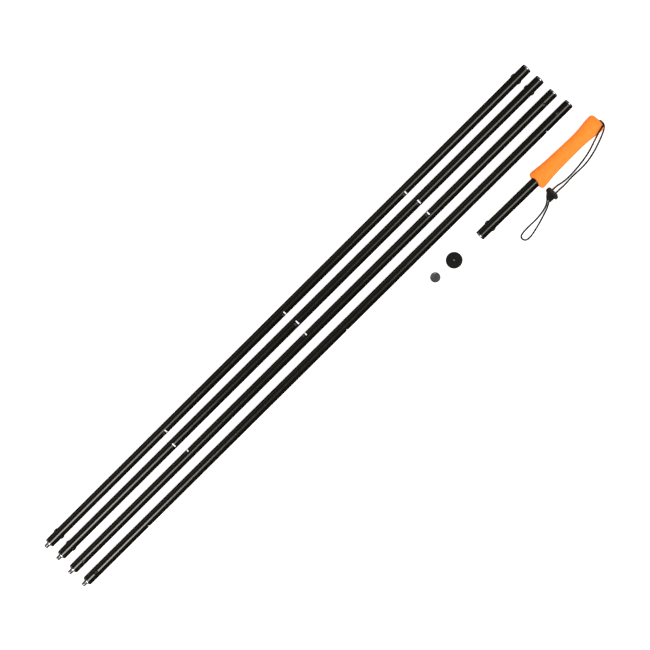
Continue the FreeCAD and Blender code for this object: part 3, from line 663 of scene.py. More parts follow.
def foam_finish(name, colour):
    """Soft moulded grip: fine closed pores with painted shade in them, faint mottling and a little soil on
    the end rounds.
    """
    look = Look(name, specular_ior_level=0.3)
    tree = look.tree
    mottle = look.effect("grain", Scale=160.0, Fine=0.3)["Shade"]
    skin = look.effect("grain", Scale=1500.0, Fine=0.6)
    pores = add(tree, "ShaderNodeTexVoronoi", {"Vector": look.place, "Scale": 1900.0}).outputs["Distance"]
    deep = (colour[0] * 0.93, colour[1] * 0.84, colour[2] * 0.7)
    base = blended(tree, remap(tree, mottle, 0.3, 0.7), deep, colour)
    # Painted shade: the colour is darker at the bottom of each pore.
    painted_pore_shade = blended(tree, remap(tree, pores, 0.0, 0.22, 0.22, 0.0), base, deep)
    look.feed("Base Color", blended(tree, look.worn(500.0, 0.22), painted_pore_shade, (0.42, 0.13, 0.03)))
    look.feed("Roughness", remap(tree, skin["Shade"], 0.3, 0.7, 0.58, 0.74))
    look.relief(weighed(tree, skin["Height"], 0.5, pores, 0.8), 0.35, 0.0001)
    return look.made


def braid_finish(name, colour):
    """Braided cord: crests painted lighter and valleys painted darker, as painted light and shade, and fine
    fibres over them.
    """
    look = Look(name, specular_ior_level=0.2, sheen_weight=0.03, sheen_roughness=0.5)
    tree = look.tree
    fibres = look.effect("grain", Scale=3800.0, Fine=0.6)
    crest = remap(tree, look.value("crest"), 0.3, 1.0)
    # Painted light and shade: the crests are painted lighter and the valleys between the strands darker.
    share = sums(tree, "MULTIPLY", sums(tree, "MULTIPLY", crest, fibres["Shade"]), 1.6, clamp=True)
    look.feed("Base Color", blended(tree, share, shaded(colour, 0.35), shaded(colour, 1.5)))
    look.feed("Roughness", remap(tree, fibres["Shade"], 0.3, 0.7, 0.62, 0.85))
    look.relief(fibres["Height"], 0.5, 0.00006)
    return look.made


def moulded_finish(name, colour, rough, spot=None, shine=0.5, bare=0.4, ridge=None):
    """Moulded plastic or rubber: fine spark texture, flow shading, soft scratches, lighter edges; and
    past a ridge along the pole's direction, if there is one, a warmer side painted lighter as a painted
    highlight."""
    look = Look(name, specular_ior_level=shine)
    tree = look.tree
    spark = look.effect("grain", Scale=2600.0, Fine=0.7)
    flow = look.effect("grain", Scale=220.0, Fine=0.3)["Shade"]
    lines = look.effect("streaks", Squeeze=(2200.0, 260.0, 900.0))["Line"]
    dust = look.effect("dust", Scale=260.0, Amount=0.12)["Mask"]
    base = blended(tree, remap(tree, flow, 0.3, 0.7), shaded(colour, 0.8), shaded(colour, 1.25))
    if ridge is not None:
        # Painted highlight: past the ridge the colour turns warmer and lighter, standing in for light falling
        # on that side.
        east = add(tree, "ShaderNodeSeparateXYZ", {0: look.place}).outputs["X"]
        base = blended(tree, remap(tree, east, ridge, ridge + 0.7 * MM), base, (0.03, 0.021, 0.017))
    dusty = blended(tree, dust, base, shaded(colour, 2.0, 0.03))
    edged = blended(tree, look.worn(1200.0, bare), dusty, shaded(colour, 1.8, 0.02))
    # The spot value takes a colour of its own: painted shade in the cap's well, and a pale dot in the middle
    # of the pad.
    if spot is not None:
        edged = blended(tree, look.value("spot"), edged, spot)
    look.feed("Base Color", edged)
    gloss = remap(tree, spark["Shade"], 0.3, 0.7, rough - 0.05, rough + 0.07)
    look.feed("Roughness", sums(tree, "ADD", gloss, remap(tree, lines, 0.6, 0.75, 0.0, 0.036)))
    look.relief(spark["Height"], 0.3, 0.00003)
    return look.made


def ink_finish(name, colour):
    """Screen-printed ink: slightly uneven cover, matte, with pinholes."""
    look = Look(name, specular_ior_level=0.3)
    tree = look.tree
    cover = look.effect("grain", Scale=1800.0, Fine=0.8)
    share = remap(tree, cover["Shade"], 0.3, 0.55)
    look.feed("Base Color", blended(tree, share, shaded(colour, 0.72), colour))
    look.feed("Roughness", remap(tree, cover["Height"], 0.3, 1.0, 0.45, 0.65))
    look.relief(cover["Height"], 0.3, 0.00002)
    return look.made


def settings():
    """The sizes and colours of the set."""
    return bpy.context.scene.pole_set


def finish(name):
    """One of the finishes, made when it is first asked for."""
    if name not in FINISHES:
        sizes = settings()
        kind, colour, *rest = {
            "black_coat": (coat_finish, sizes.coat_colour),
            "rivet_black": (coat_finish, sizes.coat_colour, 0.3, UP),
            "bright_plug": (turned_finish, sizes.plug_colour, 0.2),
            "stud_steel": (turned_finish, sizes.stud_colour, 0.22),
            "brass": (turned_finish, (0.72, 0.5, 0.22), 0.26),
            "spring_steel": (turned_finish, (0.55, 0.55, 0.56), 0.28),
            "orange_grip": (foam_finish, sizes.grip_colour),
            "cord_black": (braid_finish, sizes.cord_colour),
            # The lock's last value is the ridge past which its side is painted lighter, a painted highlight.
            "lock_plastic": (
                moulded_finish, (0.0055, 0.005, 0.0048), 0.36, None, 0.3, 0.15, 473.4 * MM,
            ),
            "button_plastic": (moulded_finish, (0.014, 0.014, 0.013), 0.34, None, 0.35),
            "inner_plastic": (moulded_finish, (0.03, 0.03, 0.03), 0.55),
            "pad_rubber": (moulded_finish, (0.0048, 0.0052, 0.0044), 0.36, (0.5, 0.48, 0.44), 0.25, 0.2),
            # The cap's near-black spot colour is painted shade in the well of its face.
            "cap_plastic": (
                moulded_finish, (0.047, 0.045, 0.0435), 0.16, (0.004, 0.004, 0.004), 0.5, 0.0,
            ),
            "white_ink": (ink_finish, (0.84, 0.84, 0.82)),
            "grey_ink": (ink_finish, (0.16, 0.155, 0.15)),
        }[name]
        FINISHES[name] = kind(name, tuple(colour), *rest)
    return FINISHES[name]


# ---- Settings and operators ----


def length(name, description, default, low, high):
    """A length setting, given in millimetres."""
    return bpy.props.FloatProperty(
        name=name, description=description, default=default * MM, min=low * MM, max=high * MM,
        subtype="DISTANCE", unit="LENGTH", precision=5,
    )


def tint(name, description, default):
    """A colour setting."""
    return bpy.props.FloatVectorProperty(
        name=name, description=description, default=default, min=0.0, max=1.0, subtype="COLOR", size=3,
    )


class PoleSetSettings(bpy.types.PropertyGroup):
    """Sizes and colours that can be changed before the pieces are built."""

    thread_pitch: length("Thread pitch", "Rise of the M8 thread in one turn", 1.25, 0.5, 2.0)
    thread_depth: length("Thread depth", "Depth of the thread's groove", 0.72, 0.2, 1.2)
    mark_width: length("Mark width", "Width of a printed mark along the pole", 2.3, 0.5, 5.0)
    mark_turn: bpy.props.FloatProperty(
        name="Mark length", description="Turn about the pole that a printed mark covers",
        default=math.radians(55.0), min=0.2, max=math.pi, subtype="ANGLE", unit="ROTATION",
    )
    strands: bpy.props.IntProperty(
        name="Strands", description="Strands of the braid that wind each way", default=8, min=4, max=16,
    )
    braid_lay: length("Braid lay", "Length of cord that one strand's width takes up", 1.5, 0.5, 4.0)
    braid_relief: bpy.props.FloatProperty(
        name="Braid relief", description="Depth of the valleys as a share of the cord's radius",
        default=0.07, min=0.0, max=0.3, subtype="FACTOR",
    )
    cord_width: length("Cord width", "Diameter of the lanyard's cord", 3.0, 1.0, 6.0)
    coat_colour: tint("Coat", "Colour of the black coat on tubes and rivets", (0.0036, 0.0031, 0.0022))
    plug_colour: tint("Plugs", "Colour of the bright end plugs", (0.78, 0.78, 0.78))
    stud_colour: tint("Studs", "Colour of the plated studs", (0.68, 0.67, 0.66))
    grip_colour: tint("Grip", "Colour of the soft grip", (0.93, 0.215, 0.013))
    cord_colour: tint("Cord", "Colour of the lanyard's cord", (0.0065, 0.006, 0.0055))


class PoleSetOperator:
    """What the operators share."""

    bl_options = {"REGISTER", "UNDO"}

    def execute(self, context):
        """Builds the pieces; a failure raises and stops the script."""
        self.build(settings())
        return {"FINISHED"}


class POLESET_OT_stage(PoleSetOperator, bpy.types.Operator):
    """Makes the camera, the pale floor, the soft lights and the sky"""

    bl_idname = "poleset.stage"
    bl_label = "Stage"

    def build(self, sizes):
        self.camera()
        self.floor()
        self.lights()
        self.sky()

    def camera(self):
        """Camera 3 m above the set, leaning 12 degrees, with the set along the picture's diagonal."""
        made = bpy.data.cameras.new("camera")
        made.sensor_width = 36.0
        made.lens = 93.4
        made.clip_start, made.clip_end = 0.05, 60.0
        camera = bpy.data.objects.new("camera", made)
        bpy.context.scene.collection.objects.link(camera)
        lean, tilt, spin = math.radians(12.0), math.radians(3.778), math.radians(0.233 - 45.0)
        turns = [Matrix.Rotation(turn, 4, axis) for turn, axis in ((lean, "X"), (tilt, "Y"), (spin, "Z"))]
        place = Matrix.Translation((0.2247, -0.6126, 2.9371))
        camera.matrix_world = place @ turns[0] @ turns[1] @ turns[2]
        bpy.context.scene.camera = camera

    def floor(self):
        """Flat square just under the set."""
        half = 14.0
        corners = np.array(((-half, -half), (half, -half), (half, half), (-half, half)))
        points = np.concatenate([corners, np.full((4, 1), -0.0003)], axis=1)
        mesh = bpy.data.meshes.new("floor")
        mesh.from_pydata(points.tolist(), [], [(0, 1, 2, 3)])
        mesh.update()
        floor = bpy.data.objects.new("floor", mesh)
        bpy.context.scene.collection.objects.link(floor)
        look = Look(
            "pale_floor", roughness=0.9, specular_ior_level=0.0, base_color=(0.86, 0.86, 0.86, 1.0),
            emission_color=(1.0, 1.0, 1.0, 1.0), emission_strength=0.45,
        )
        mesh.materials.append(look.made)
        floor.visible_glossy = False

    def lights(self):
        """Soft lights over the grip section's side, with a gap between them that leaves the middle of
        the poles without a bright line; and a dim wide one on the far side."""
        for name, middle, size, radiance, lean in (
            ("light_stud_side", (-1.8, -1.55, 3.6), (1.0, 2.0), 12.5, 25.0),
            ("light_stud_fade", (-1.13, -1.55, 3.6), (0.34, 2.0), 7.0, 25.0),
            ("light_grip_fade", (0.31, -2.0, 3.6), (0.24, 1.9), 3.0, 28.0),
            ("light_grip_side", (1.15, -2.0, 3.6), (1.44, 1.9), 5.6, 28.0),
            ("light_far_side", (-1.1, 3.4, 1.9), (3.8, 1.5), 0.55, -60.0),
        ):
            made = bpy.data.lights.new(name, "AREA")
            made.shape = "RECTANGLE"
            made.size, made.size_y = size
            made.energy = radiance * math.pi * size[0] * size[1]
            lamp = bpy.data.objects.new(name, made)
            lamp.location = middle
            lamp.rotation_euler = (math.radians(lean), 0.0, 0.0)
            lamp.visible_camera = False
            bpy.context.scene.collection.objects.link(lamp)

    def sky(self):
        """Sky: white where the camera sees it, an even soft fill, and dim in reflections."""
        world = bpy.data.worlds.new("sky")
        world.use_nodes = True
        tree = world.node_tree
        sky = tree.nodes["Background"]
        path = add(tree, "ShaderNodeLightPath").outputs
        upward = add(tree, "ShaderNodeTexCoord").outputs["Generated"]
        height = add(tree, "ShaderNodeSeparateXYZ", {0: upward})
        dim = remap(tree, height.outputs["Z"], 0.1, 1.0, 0.01, 0.09)
        fill = add(tree, "ShaderNodeMix", {0: path["Is Glossy Ray"], 2: 0.95, 3: dim}).outputs[0]
        shown = add(tree, "ShaderNodeMix", {0: path["Is Camera Ray"], 2: fill, 3: 1.0}).outputs[0]
        sky.inputs["Color"].default_value = (1.0, 1.0, 1.0, 1.0)
        tree.links.new(shown, sky.inputs["Strength"])
        bpy.context.scene.world = world
        bpy.context.scene.view_settings.view_transform = "Standard"


class POLESET_OT_lanyard(PoleSetOperator, bpy.types.Operator):
    """Makes the braided lanyard along its route, and the knot that holds it in the butt"""

    bl_idname = "poleset.lanyard"
    bl_label = "Lanyard and knot"

    def build(self, sizes):
        line = self.line()
        path, along = even_steps(line, 0.31 * MM)
        radius, crest = self.plait(along, 40, sizes)
        skin = carried(path, radius, marks={"crest": crest})
        cord = grip_piece("lanyard", [skin], "cord_black", "cord", "lanyard_cord")
        knot = grip_piece("stopper_knot", self.knot(sizes), "cord_black", "cord", "lanyard_knot")

    def plait(self, along, around, sizes):
        """Radius and crest of the cord's braid at distances along it."""
        return braid(along, around, sizes.cord_width, sizes.strands, sizes.braid_lay, sizes.braid_relief)

    def line(self):
        """The lanyard's centreline: the NURBS spline that the route's points control."""
        curve = bpy.data.curves.new("lanyard_route", "CURVE")
        curve.dimensions = "3D"
        curve.resolution_u = 12
        spline = curve.splines.new("NURBS")
        spline.points.add(len(ROUTE) - 1)
        spline.points.foreach_set("co", np.column_stack([ROUTE, np.ones(len(ROUTE))]).ravel())
        spline.order_u = 3
        spline.use_endpoint_u = True
        carrier = bpy.data.objects.new("lanyard_route", curve)
        bpy.context.scene.collection.objects.link(carrier)
        bpy.context.view_layer.update()
        depsgraph = bpy.context.evaluated_depsgraph_get()
        mesh = bpy.data.meshes.new_from_object(carrier.evaluated_get(depsgraph))
        points = np.zeros(len(mesh.vertices) * 3)
        mesh.vertices.foreach_get("co", points)
        bpy.data.objects.remove(carrier)
        bpy.data.curves.remove(curve)
        bpy.data.meshes.remove(mesh)
        return points.reshape(-1, 3)

    def knot(self, sizes):
        """A trefoil: the circle coordinates (2 + cos 3t) at angle 2t, with sin 3t along the pole; and
        two straight legs from it to the lanyard's ends."""
        low = box_of("lanyard_knot")[0]
        face, outward = mount_of("grip_socket")
        along = -outward
        start = face + along * ((low[0] - face[0]) / along[0])
        across = np.cross(UP, along)
        t = np.arange(720) * TAU / 720
        reach = 1.48 * MM * (2.0 + np.cos(3 * t))
        centre = start + along * 4.9 * MM
        ring = (
            centre
            + (reach * np.cos(2 * t))[:, None] * across
            + (reach * np.sin(2 * t))[:, None] * UP
            + (3.2 * MM * np.sin(3 * t))[:, None] * along
        )
        skins = []
        path, run = even_steps(ring, 0.4 * MM, closed=True)
        lay = run[-1] * (1 + 1 / len(run)) / round(run[-1] / sizes.braid_lay)
        width = sizes.cord_width * 0.98
        radius, crest = braid(run, 32, width, sizes.strands, lay, sizes.braid_relief)
        skins.append(carried(path, radius, up=along, marks={"crest": crest}, closed=True))
        length = (np.array(ROUTE[0]) - start) @ along
        for end in (ROUTE[0], ROUTE[-1]):
            height = np.array(end) - start
            height -= (height @ along) * along
            reaches = (8.2 * MM, length - 0.02 * MM)
            ends = np.stack([start + height + along * reach for reach in reaches])
            path, run = even_steps(ends, 0.4 * MM)
            radius, crest = self.plait(run, 32, sizes)
            skins.append(carried(path, radius, marks={"crest": crest}))
        return skins


class POLESET_OT_tubes(PoleSetOperator, bpy.types.Operator):
    """Makes the coated tubes of the four sections and of the grip section"""

    bl_idname = "poleset.tubes"
    bl_label = "Tubes"

    def build(self, sizes):
        for number in SECTIONS:
            low, high = box_of(f"section_{number}_tube")
            start = end_of(f"section_{number}_stud_plug", 0)
            start[0] = low[0]
            skin = self.tube(start, EAST, high[0] - low[0])
            section_piece(number, "coated_tube", [skin], "black_coat", "black_tube", "tube")
        face, outward = mount_of("grip_socket")
        start = face - outward * (FLANGE_THICK - MOUNT_DEPTH) * MM
        skin = self.tube(start, -outward, GRIP_TUBE_SPAN * MM)
        grip_piece("grip_coated_tube", [skin], "black_coat", "black_tube", "grip_tube")

    def tube(self, at, axis, span):
        """A closed profile of the wall, its edges broken, turned about the axis."""
        end = span / MM
        profile, edge = softened((
            (0.0, TUBE_INSIDE, 0.12), (0.0, TUBE_RADIUS, 0.3), (end, TUBE_RADIUS, 0.3),
            (end, TUBE_INSIDE, 0.12),
        ), closed=True)
        return turned(profile, at, axis, around=128, closed=True, edge=edge)


class POLESET_OT_studs(PoleSetOperator, bpy.types.Operator):
    """Makes the four threaded studs"""

    bl_idname = "poleset.studs"
    bl_label = "Studs"

    def build(self, sizes):
        corners = (
            (0.0, 0.0), (0.0, 3.1, 0.15), (0.9, 4.0, 0.15, 80), (9.0, 4.0), (9.5, 3.5), (10.5, 3.5),
            (11.0, 3.95), (25.1, 3.95), (26.0, 3.1), (26.0, 0.0),
        )
        profile, edge = softened(corners)
        ripple = thread_ripple(0.5 * MM, 9.3 * MM, sizes.thread_pitch, sizes.thread_depth, True)
        for number in SECTIONS:
            tip = end_of(f"section_{number}_stud", 0)
            skin = turned(profile, tip, EAST, around=64, ripple=ripple, edge=edge)
            section_piece(number, "threaded_stud", [skin], "stud_steel", "stud_steel", "stud")


class POLESET_OT_plugs(PoleSetOperator, bpy.types.Operator):
    """Makes the bright flanged plugs at the stud ends and the socket ends"""

    bl_idname = "poleset.plugs"
    bl_label = "End plugs"

    def build(self, sizes):
        plug = (
            (0.0, TUBE_RADIUS, 1.3), (FLANGE_THICK, TUBE_RADIUS), (FLANGE_THICK, PLUG_RADIUS),
            (PLUG_SPAN, PLUG_RADIUS, 0.3), (PLUG_SPAN, 0.0),
        )
        stud_end, stud_edge = softened(((17.2, 0.0), (17.2, 4.05), (0.4, 4.05), (0.0, 4.5), *plug))
        socket_end, socket_edge = softened(
            ((15.8, 0.0), (14.0, 3.4, 0.0, 110), (0.8, 3.4), (0.0, 4.2), *plug)
        )
        ripple = bore_thread(13.9 * MM, sizes)
        for number in SECTIONS:
            skin = turned(stud_end, end_of(f"section_{number}_stud_plug", 0), EAST, edge=stud_edge)
            section_piece(number, "stud_flange", [skin], "bright_plug", "bright_plug", "stud_plug")
            face = end_of(f"section_{number}_socket_plug", 1)
            skin = turned(socket_end, face, -EAST, ripple=ripple, edge=socket_edge)
            section_piece(number, "socket_flange", [skin], "bright_plug", "bright_plug", "socket_plug")
        middle, outward = mount_of("grip_socket")
        face = middle + outward * MOUNT_DEPTH * MM
        skin = turned(socket_end, face, -outward, ripple=ripple, edge=socket_edge)
        grip_piece("grip_socket_flange", [skin], "bright_plug", "bright_plug", "grip_socket_plug")


class POLESET_OT_rivets(PoleSetOperator, bpy.types.Operator):
    """Makes the domed rivets of every section, each with its saddle and its mandrel hole"""

    bl_idname = "poleset.rivets"
    bl_label = "Rivets"

    def build(self, sizes):
        # Turns about the pole at the studs' end and at the sockets' end, in degrees; the rivets'
        # middles lie a head's radius inside the ends of their box.
        turns = {1: (12.0, 12.0), 2: (-4.0, -4.0), 3: (-42.0, -42.0), 4: (100.0, 67.0)}
        for number in SECTIONS:
            centre = end_of(f"section_{number}_stud_plug", 0)
            low, high = box_of(f"section_{number}_rivets")
            skins = []
            for place, turn in zip((low[0] + 4.6 * MM, high[0] - 4.63 * MM), turns[number]):
                for way in (turn, turn + 180.0):
                    at = np.array((place, *centre[1:]))
                    skins.append(self.rivet(at, EAST, math.radians(way)))
            section_piece(number, "rivet_heads", skins, "rivet_black", "black_rivet", "rivets")
        face, outward = mount_of("grip_socket")
        along = -outward
        low, high = box_of("grip_rivets")
        place = face + along * (((low[0] + high[0]) / 2 - face[0]) / along[0])
        skins = [self.rivet(place, along, math.radians(turn)) for turn in (4.0, 184.0)]
        grip_piece("grip_rivet_heads", skins, "rivet_black", "black_rivet", "grip_rivets")

    def rivet(self, centre, pole, turn):
        """Heights and radii about the rivet's own axis: a mandrel end in a small well, a dome that is
        part of a ball, a skirt whose lower edge is where the tube is, and a shank."""
        ball, ball_centre, around = 6.5186, 4.3814, 48
        seat, rim_lift = 9.02, 0.03
        well = np.array(((0.8, 10.35), (0.92, 10.28), (0.95, 9.95), (1.25, 9.95), (1.3, 10.62)))
        dome_at = np.append(1.45, np.linspace(1.75, 4.5, 12))
        dome = np.column_stack([dome_at, ball_centre + np.sqrt(ball**2 - dome_at**2)])
        under = np.array(((4.6, 8.99), (4.6, seat), (4.5, seat), (2.4, seat), (2.4, 4.1), (2.3, 4.0)))
        profile = np.concatenate([well, dome, under])
        rim = len(well) + len(dome)
        angle = np.arange(around) * TAU / around
        lateral = profile[:, :1] * np.sin(angle)[None]
        saddle = np.sqrt(seat**2 - lateral**2)
        height = np.repeat(profile[:, 1:], around, axis=1)
        height[rim] = np.maximum(height[rim], saddle[rim] + rim_lift)
        height[rim + 1:rim + 4] = saddle[rim + 1:rim + 4]
        side = NORTH * math.cos(turn) + UP * math.sin(turn)
        outward = unit(side - (side @ pole) * pole)
        grid = (
            centre
            + (height * MM)[..., None] * outward
            + (profile[:, :1] * np.cos(angle)[None] * MM)[..., None] * pole
            + (lateral * MM)[..., None] * np.cross(pole, outward)
        )
        edge = np.zeros(height.shape)
        edge[rim - 1:rim + 2] = 1.0
        return capped(grid, {"edge": edge})


class POLESET_OT_marks(PoleSetOperator, bpy.types.Operator):
    """Makes the printed length marks and their figures on the sections"""

    bl_idname = "poleset.marks"
    bl_label = "Printed marks"

    def build(self, sizes):
        for number in SECTIONS:
            centre = end_of(f"section_{number}_stud", 0)
            ticks, figures = [], []
            for count, (along, start) in enumerate(MARKS[number], 1):
                first = math.radians(start)
                ticks.append(self.tick(centre, along * MM, first, sizes))
                if number in FIGURED:
                    middle = first + sizes.mark_turn / 2
                    figures.append(self.figure(centre, (along - FIGURE_OFFSET) * MM, middle, count))
            section_piece(number, "marks", ticks, "white_ink", "black_tube")
            if figures:
                section_piece(number, "figures", figures, "grey_ink", "black_tube")

    def wrapped(self, centre, along, turn, lift):
        """Points laid round a pole: distance along it, turn from its top, and lift above the coat."""
        radius = TUBE_RADIUS * MM + lift
        return (
            centre
            + along[..., None] * EAST
            + (radius * np.cos(turn))[..., None] * UP
            - (radius * np.sin(turn))[..., None] * NORTH
        )

    def tick(self, centre, along, start, sizes):
        """A thin band: a rounded-edge cross-section across its width, carried round the pole."""
        turn = np.linspace(start, start + sizes.mark_turn, 40)[:, None]
        across = np.array((-1.0, -0.93, 0.0, 0.93, 1.0, 0.93, 0.0, -0.93)) * sizes.mark_width / 2
        lift = np.array((0.0, 1.0, 1.0, 1.0, 0.0, -3.0, -3.0, -3.0)) * 0.03 * MM
        along, turn, lift = np.broadcast_arrays(along + across, turn, lift)
        return capped(self.wrapped(centre, along, turn, lift))

    def figure(self, centre, along, turn, number):
        """A figure's pen line, 4.4 mm high round the pole and 2.6 mm wide along it, drawn by a small
        flat section carried along the line."""
        strokes = np.array(FIGURES[number])
        wide, high = (strokes[:, 0] - 0.5) * 2.6 * MM, (0.5 - strokes[:, 1]) * 4.4 * MM
        flat = np.column_stack([wide, high, np.zeros(len(strokes))])
        path = even_steps(flat, 0.18 * MM)[0]
        ahead = unit(np.gradient(path[:, :2], axis=0))
        side = np.column_stack([-ahead[:, 1], ahead[:, 0]])
        width = np.array((-1.0, 1.0, 1.0, -1.0)) * 0.26 * MM
        lift = np.array((0.6, 0.6, -3.0, -3.0)) * 0.03 * MM
        flat_grid = path[:, None, :2] + side[:, None] * width[None, :, None]
        turn = turn + flat_grid[..., 1] / (TUBE_RADIUS * MM)
        lift = np.broadcast_to(lift, turn.shape)
        return capped(self.wrapped(centre, along + flat_grid[..., 0], turn, lift))


class POLESET_OT_grip(PoleSetOperator, bpy.types.Operator):
    """Makes the soft orange grip"""

    bl_idname = "poleset.grip"
    bl_label = "Grip"

    def build(self, sizes):
        face, outward = mount_of("grip_socket")
        along = -outward
        start = face + along * (GRIP_START - MOUNT_DEPTH) * MM
        profile, edge = self.outline()
        skin = turned(profile, start, along, around=160, closed=True, edge=edge, ripple=self.scoop)
        grip = grip_piece("soft_grip", [skin], "orange_grip", "orange_grip", "grip")
        grip.visible_glossy = False

    def scoop(self, height, radius, turn):
        """The front is hollowed above the pole: a bell of the angle from the top, fading behind it."""
        away = (turn + math.pi) % TAU - math.pi
        deep = 2.3 * MM * np.exp(-(away / 0.62) ** 4) * np.clip(1 - height / (11.0 * MM), 0.0, 1.0)
        return deep, np.zeros_like(radius), {}

    def outline(self):
        """Closed profile: the front lead and face, a quarter round, the waisted side, a quarter round
        at the butt, the lip of the cord hole, and the bore back to the front."""
        front_turn = np.radians(np.linspace(0.0, 90.0, 13))
        front = np.column_stack([4.6 * (1 - np.cos(front_turn)), GRIP_FLARE - 4.6 * (1 - np.sin(front_turn))])
        shares = np.array(GRIP_FRONT + GRIP_REAR)
        wide = np.repeat((GRIP_FLARE, GRIP_BUTT), (len(GRIP_FRONT), len(GRIP_REAR)))
        places = np.concatenate([(4.6,), shares[:, 0] * GRIP_SPAN, (GRIP_SPAN - 7.0,)])
        radii = GRIP_WAIST + (wide - GRIP_WAIST) * shares[:, 1]
        radii = np.concatenate([(GRIP_FLARE,), radii, (GRIP_BUTT,)])
        side_at = np.linspace(4.6, GRIP_SPAN - 7.0, 110)[1:-1]
        side = np.column_stack([side_at, smooth_between(side_at, places, radii)])
        butt_turn = front_turn[::-1]
        butt = np.column_stack([
            GRIP_SPAN - 7.0 * (1 - np.cos(butt_turn)), GRIP_BUTT - 7.0 * (1 - np.sin(butt_turn)),
        ])
        lip_turn = np.radians(np.linspace(0.0, 90.0, 9))
        lip = np.column_stack([GRIP_SPAN - 3.0 * (1 - np.cos(lip_turn)), 6.7 - 3.0 * np.sin(lip_turn)])
        inside = np.array(((145.5, 3.7), (145.5, 9.1), (72.0, 9.1), (1.4, 9.1), (0.0, 11.0), (0.0, 12.0)))
        profile = np.concatenate([front, side, butt, lip, inside])
        edge = np.concatenate([
            np.ones(len(front)), np.zeros(len(side)), np.ones(len(butt)), np.ones(len(lip)) * 0.6,
            np.zeros(len(inside)),
        ])
        return profile * MM, edge


class POLESET_OT_lock(PoleSetOperator, bpy.types.Operator):
    """Makes the cord lock's spring, and gives its body and plunger and the butt plug their finishes"""

    bl_idname = "poleset.lock"
    bl_label = "Cord lock"

    def build(self, sizes):
        dress("lock_body", "lock_plastic")
        dress("lock_plunger", "button_plastic")
        dress("butt_plug", "inner_plastic")
        low, high = box_of("lock_spring")
        skin = self.coil(low, high)
        spring = make_piece("coiled_spring", [skin], "spring_steel", "lock", ["lock_spring"])
        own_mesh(spring)

    def coil(self, low, high):
        """Round wire along a helix: three and a half turns of a circle about the plunger's axis, rising
        evenly along it."""
        wire, turns, rows = 0.2 * MM, 3.5, 260
        share = np.linspace(0.0, 1.0, rows)
        middle = (low + high) / 2
        across = (high[0] - low[0]) / 2 - wire
        path = np.column_stack([
            middle[0] + across * np.cos(turns * TAU * share),
            low[1] + wire + (high[1] - low[1] - 2 * wire) * share,
            middle[2] + across * np.sin(turns * TAU * share),
        ])
        return carried(path, np.full((rows, 12), wire), up=NORTH)


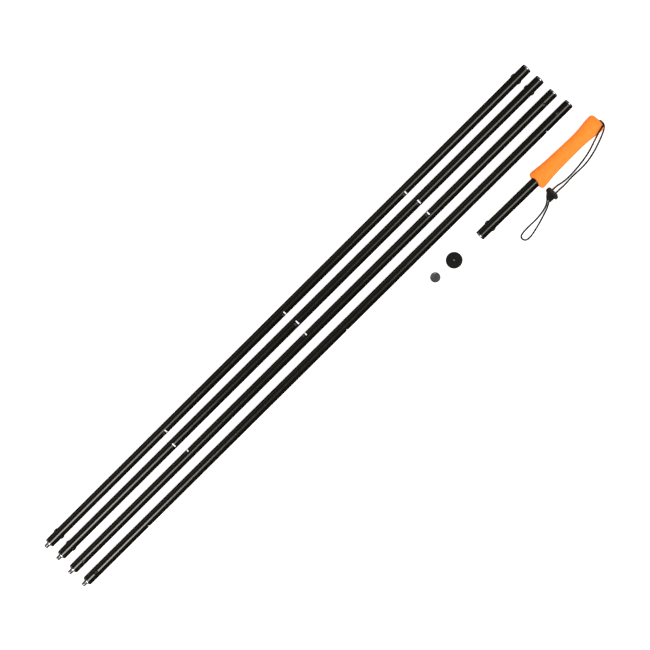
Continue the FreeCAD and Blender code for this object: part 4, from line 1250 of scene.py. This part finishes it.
class POLESET_OT_ends(PoleSetOperator, bpy.types.Operator):
    """Makes the push pad, the thread cap and their threaded inserts"""

    bl_idname = "poleset.ends"
    bl_label = "Push pad and thread cap"

    def build(self, sizes):
        hub = ((8.6, 0.0), (8.6, 5.25), (0.0, 5.25))
        pad = (
            *hub, (0.0, 7.9, 0.1), (0.6, 8.5, 0.3), (9.0, 8.5, 0.4), (9.0, 14.1, 0.2), (9.7, 14.8, 0.3),
            (12.0, 14.8, 0.9), (12.0, 12.6, 0.15), (11.72, 12.3, 0.1), (11.72, 11.5, 0.1),
            (12.0, 11.2, 0.15, 6), (12.0, 1.4, 0.1), (11.8, 1.1, 0.1), (11.8, 0.72, 0.05),
            (12.0, 0.6, 0.08), (12.0, 0.0),
        )
        cap = (
            *hub, (0.0, 6.2, 0.1), (0.6, 6.8, 0.3), (8.0, 6.8, 0.4), (8.0, 8.5, 0.2), (8.7, 9.2, 0.3),
            (11.4, 9.2, 1.3), (11.4, 7.2, 0.5), (10.95, 6.3, 0.6, 14), (10.85, 0.1), (10.85, 0.0),
        )
        for node, body, look, corners, ripple in (
            ("push_pad", "pad_end", "pad_rubber", pad, self.pad_ripple),
            ("thread_cap", "cap_end", "cap_plastic", cap, self.cap_ripple),
        ):
            profile, edge = softened(corners)
            skin = turned(profile, foot_of(node), UP, reference=EAST, edge=edge, ripple=ripple)
            make_piece(f"{node}_disc", [skin], look, body, [node])
            self.insert(f"{node}_insert", body, sizes)

    def pad_ripple(self, height, radius, turn):
        """The pale spot in the middle of the pad's face."""
        spot = (radius < 0.75 * MM) & (height > 11.0 * MM)
        return np.zeros_like(height), np.zeros_like(radius), {"spot": spot.astype(float)}

    def cap_ripple(self, height, radius, turn):
        """A small round well in the cap's face, beside its middle: the face less a bell of distance; the same
        bell, as the spot value, paints shade into the well.
        """
        east = radius * np.cos(turn) - 0.9 * MM
        north = radius * np.sin(turn) - 0.5 * MM
        bell = np.exp(-((east**2 + north**2) / (1.1 * MM) ** 2) ** 2)
        top = height > 10.6 * MM
        return -0.75 * MM * bell * top, np.zeros_like(radius), {"spot": bell * top}

    def insert(self, node, body, sizes):
        """Ring with a threaded hole and straight knurling: a cosine of 36 times the angle outside."""
        profile, edge = softened((
            (0.0, 4.2), (0.0, 4.7), (0.5, 5.2, 0.0, 8), (8.0, 5.2), (8.0, 3.4, 0.0, 60), (0.8, 3.4),
        ), closed=True)
        thread = bore_thread(7.8 * MM, sizes)

        def ripple(height, radius, turn):
            add_height, add_radius, more = thread(height, radius, turn)
            outside = (radius > 5.15 * MM) * (height > 1.0 * MM)
            return add_height, add_radius - 0.12 * MM * (0.5 + 0.5 * np.cos(36 * turn)) * outside, more

        skin = turned(
            profile, foot_of(node), UP, around=144, reference=EAST, ripple=ripple, closed=True, edge=edge
        )
        make_piece(f"{node}_threaded", [skin], "brass", body, [node])


class POLESET_PT_sidebar(bpy.types.Panel):
    """Lists the settings and the operators in the 3D view's sidebar"""

    bl_idname = "POLESET_PT_sidebar"
    bl_label = "Pole set"
    bl_space_type = "VIEW_3D"
    bl_region_type = "UI"
    bl_category = "Pole set"

    def draw(self, context):
        """One row for each setting and each operator."""
        for name in PoleSetSettings.__annotations__:
            self.layout.prop(context.scene.pole_set, name)
        for operator in OPERATORS:
            self.layout.operator(operator.bl_idname)


# In the order in which they run.
OPERATORS = (
    POLESET_OT_stage,
    POLESET_OT_lock,
    POLESET_OT_lanyard,
    POLESET_OT_tubes,
    POLESET_OT_studs,
    POLESET_OT_plugs,
    POLESET_OT_rivets,
    POLESET_OT_marks,
    POLESET_OT_grip,
    POLESET_OT_ends,
)
CLASSES = (PoleSetSettings, *OPERATORS, POLESET_PT_sidebar)


def register():
    """Registers the classes and hangs the settings on the scene."""
    for kind in CLASSES:
        bpy.utils.register_class(kind)
    bpy.types.Scene.pole_set = bpy.props.PointerProperty(type=PoleSetSettings)


def unregister():
    """Takes the settings off the scene and the classes out."""
    del bpy.types.Scene.pole_set
    for kind in reversed(CLASSES):
        bpy.utils.unregister_class(kind)


def main():
    """Registers the add-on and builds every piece."""
    register()
    for operator in OPERATORS:
        getattr(bpy.ops.poleset, operator.bl_idname.split(".")[1])()


if __name__ == "__main__":
    main()
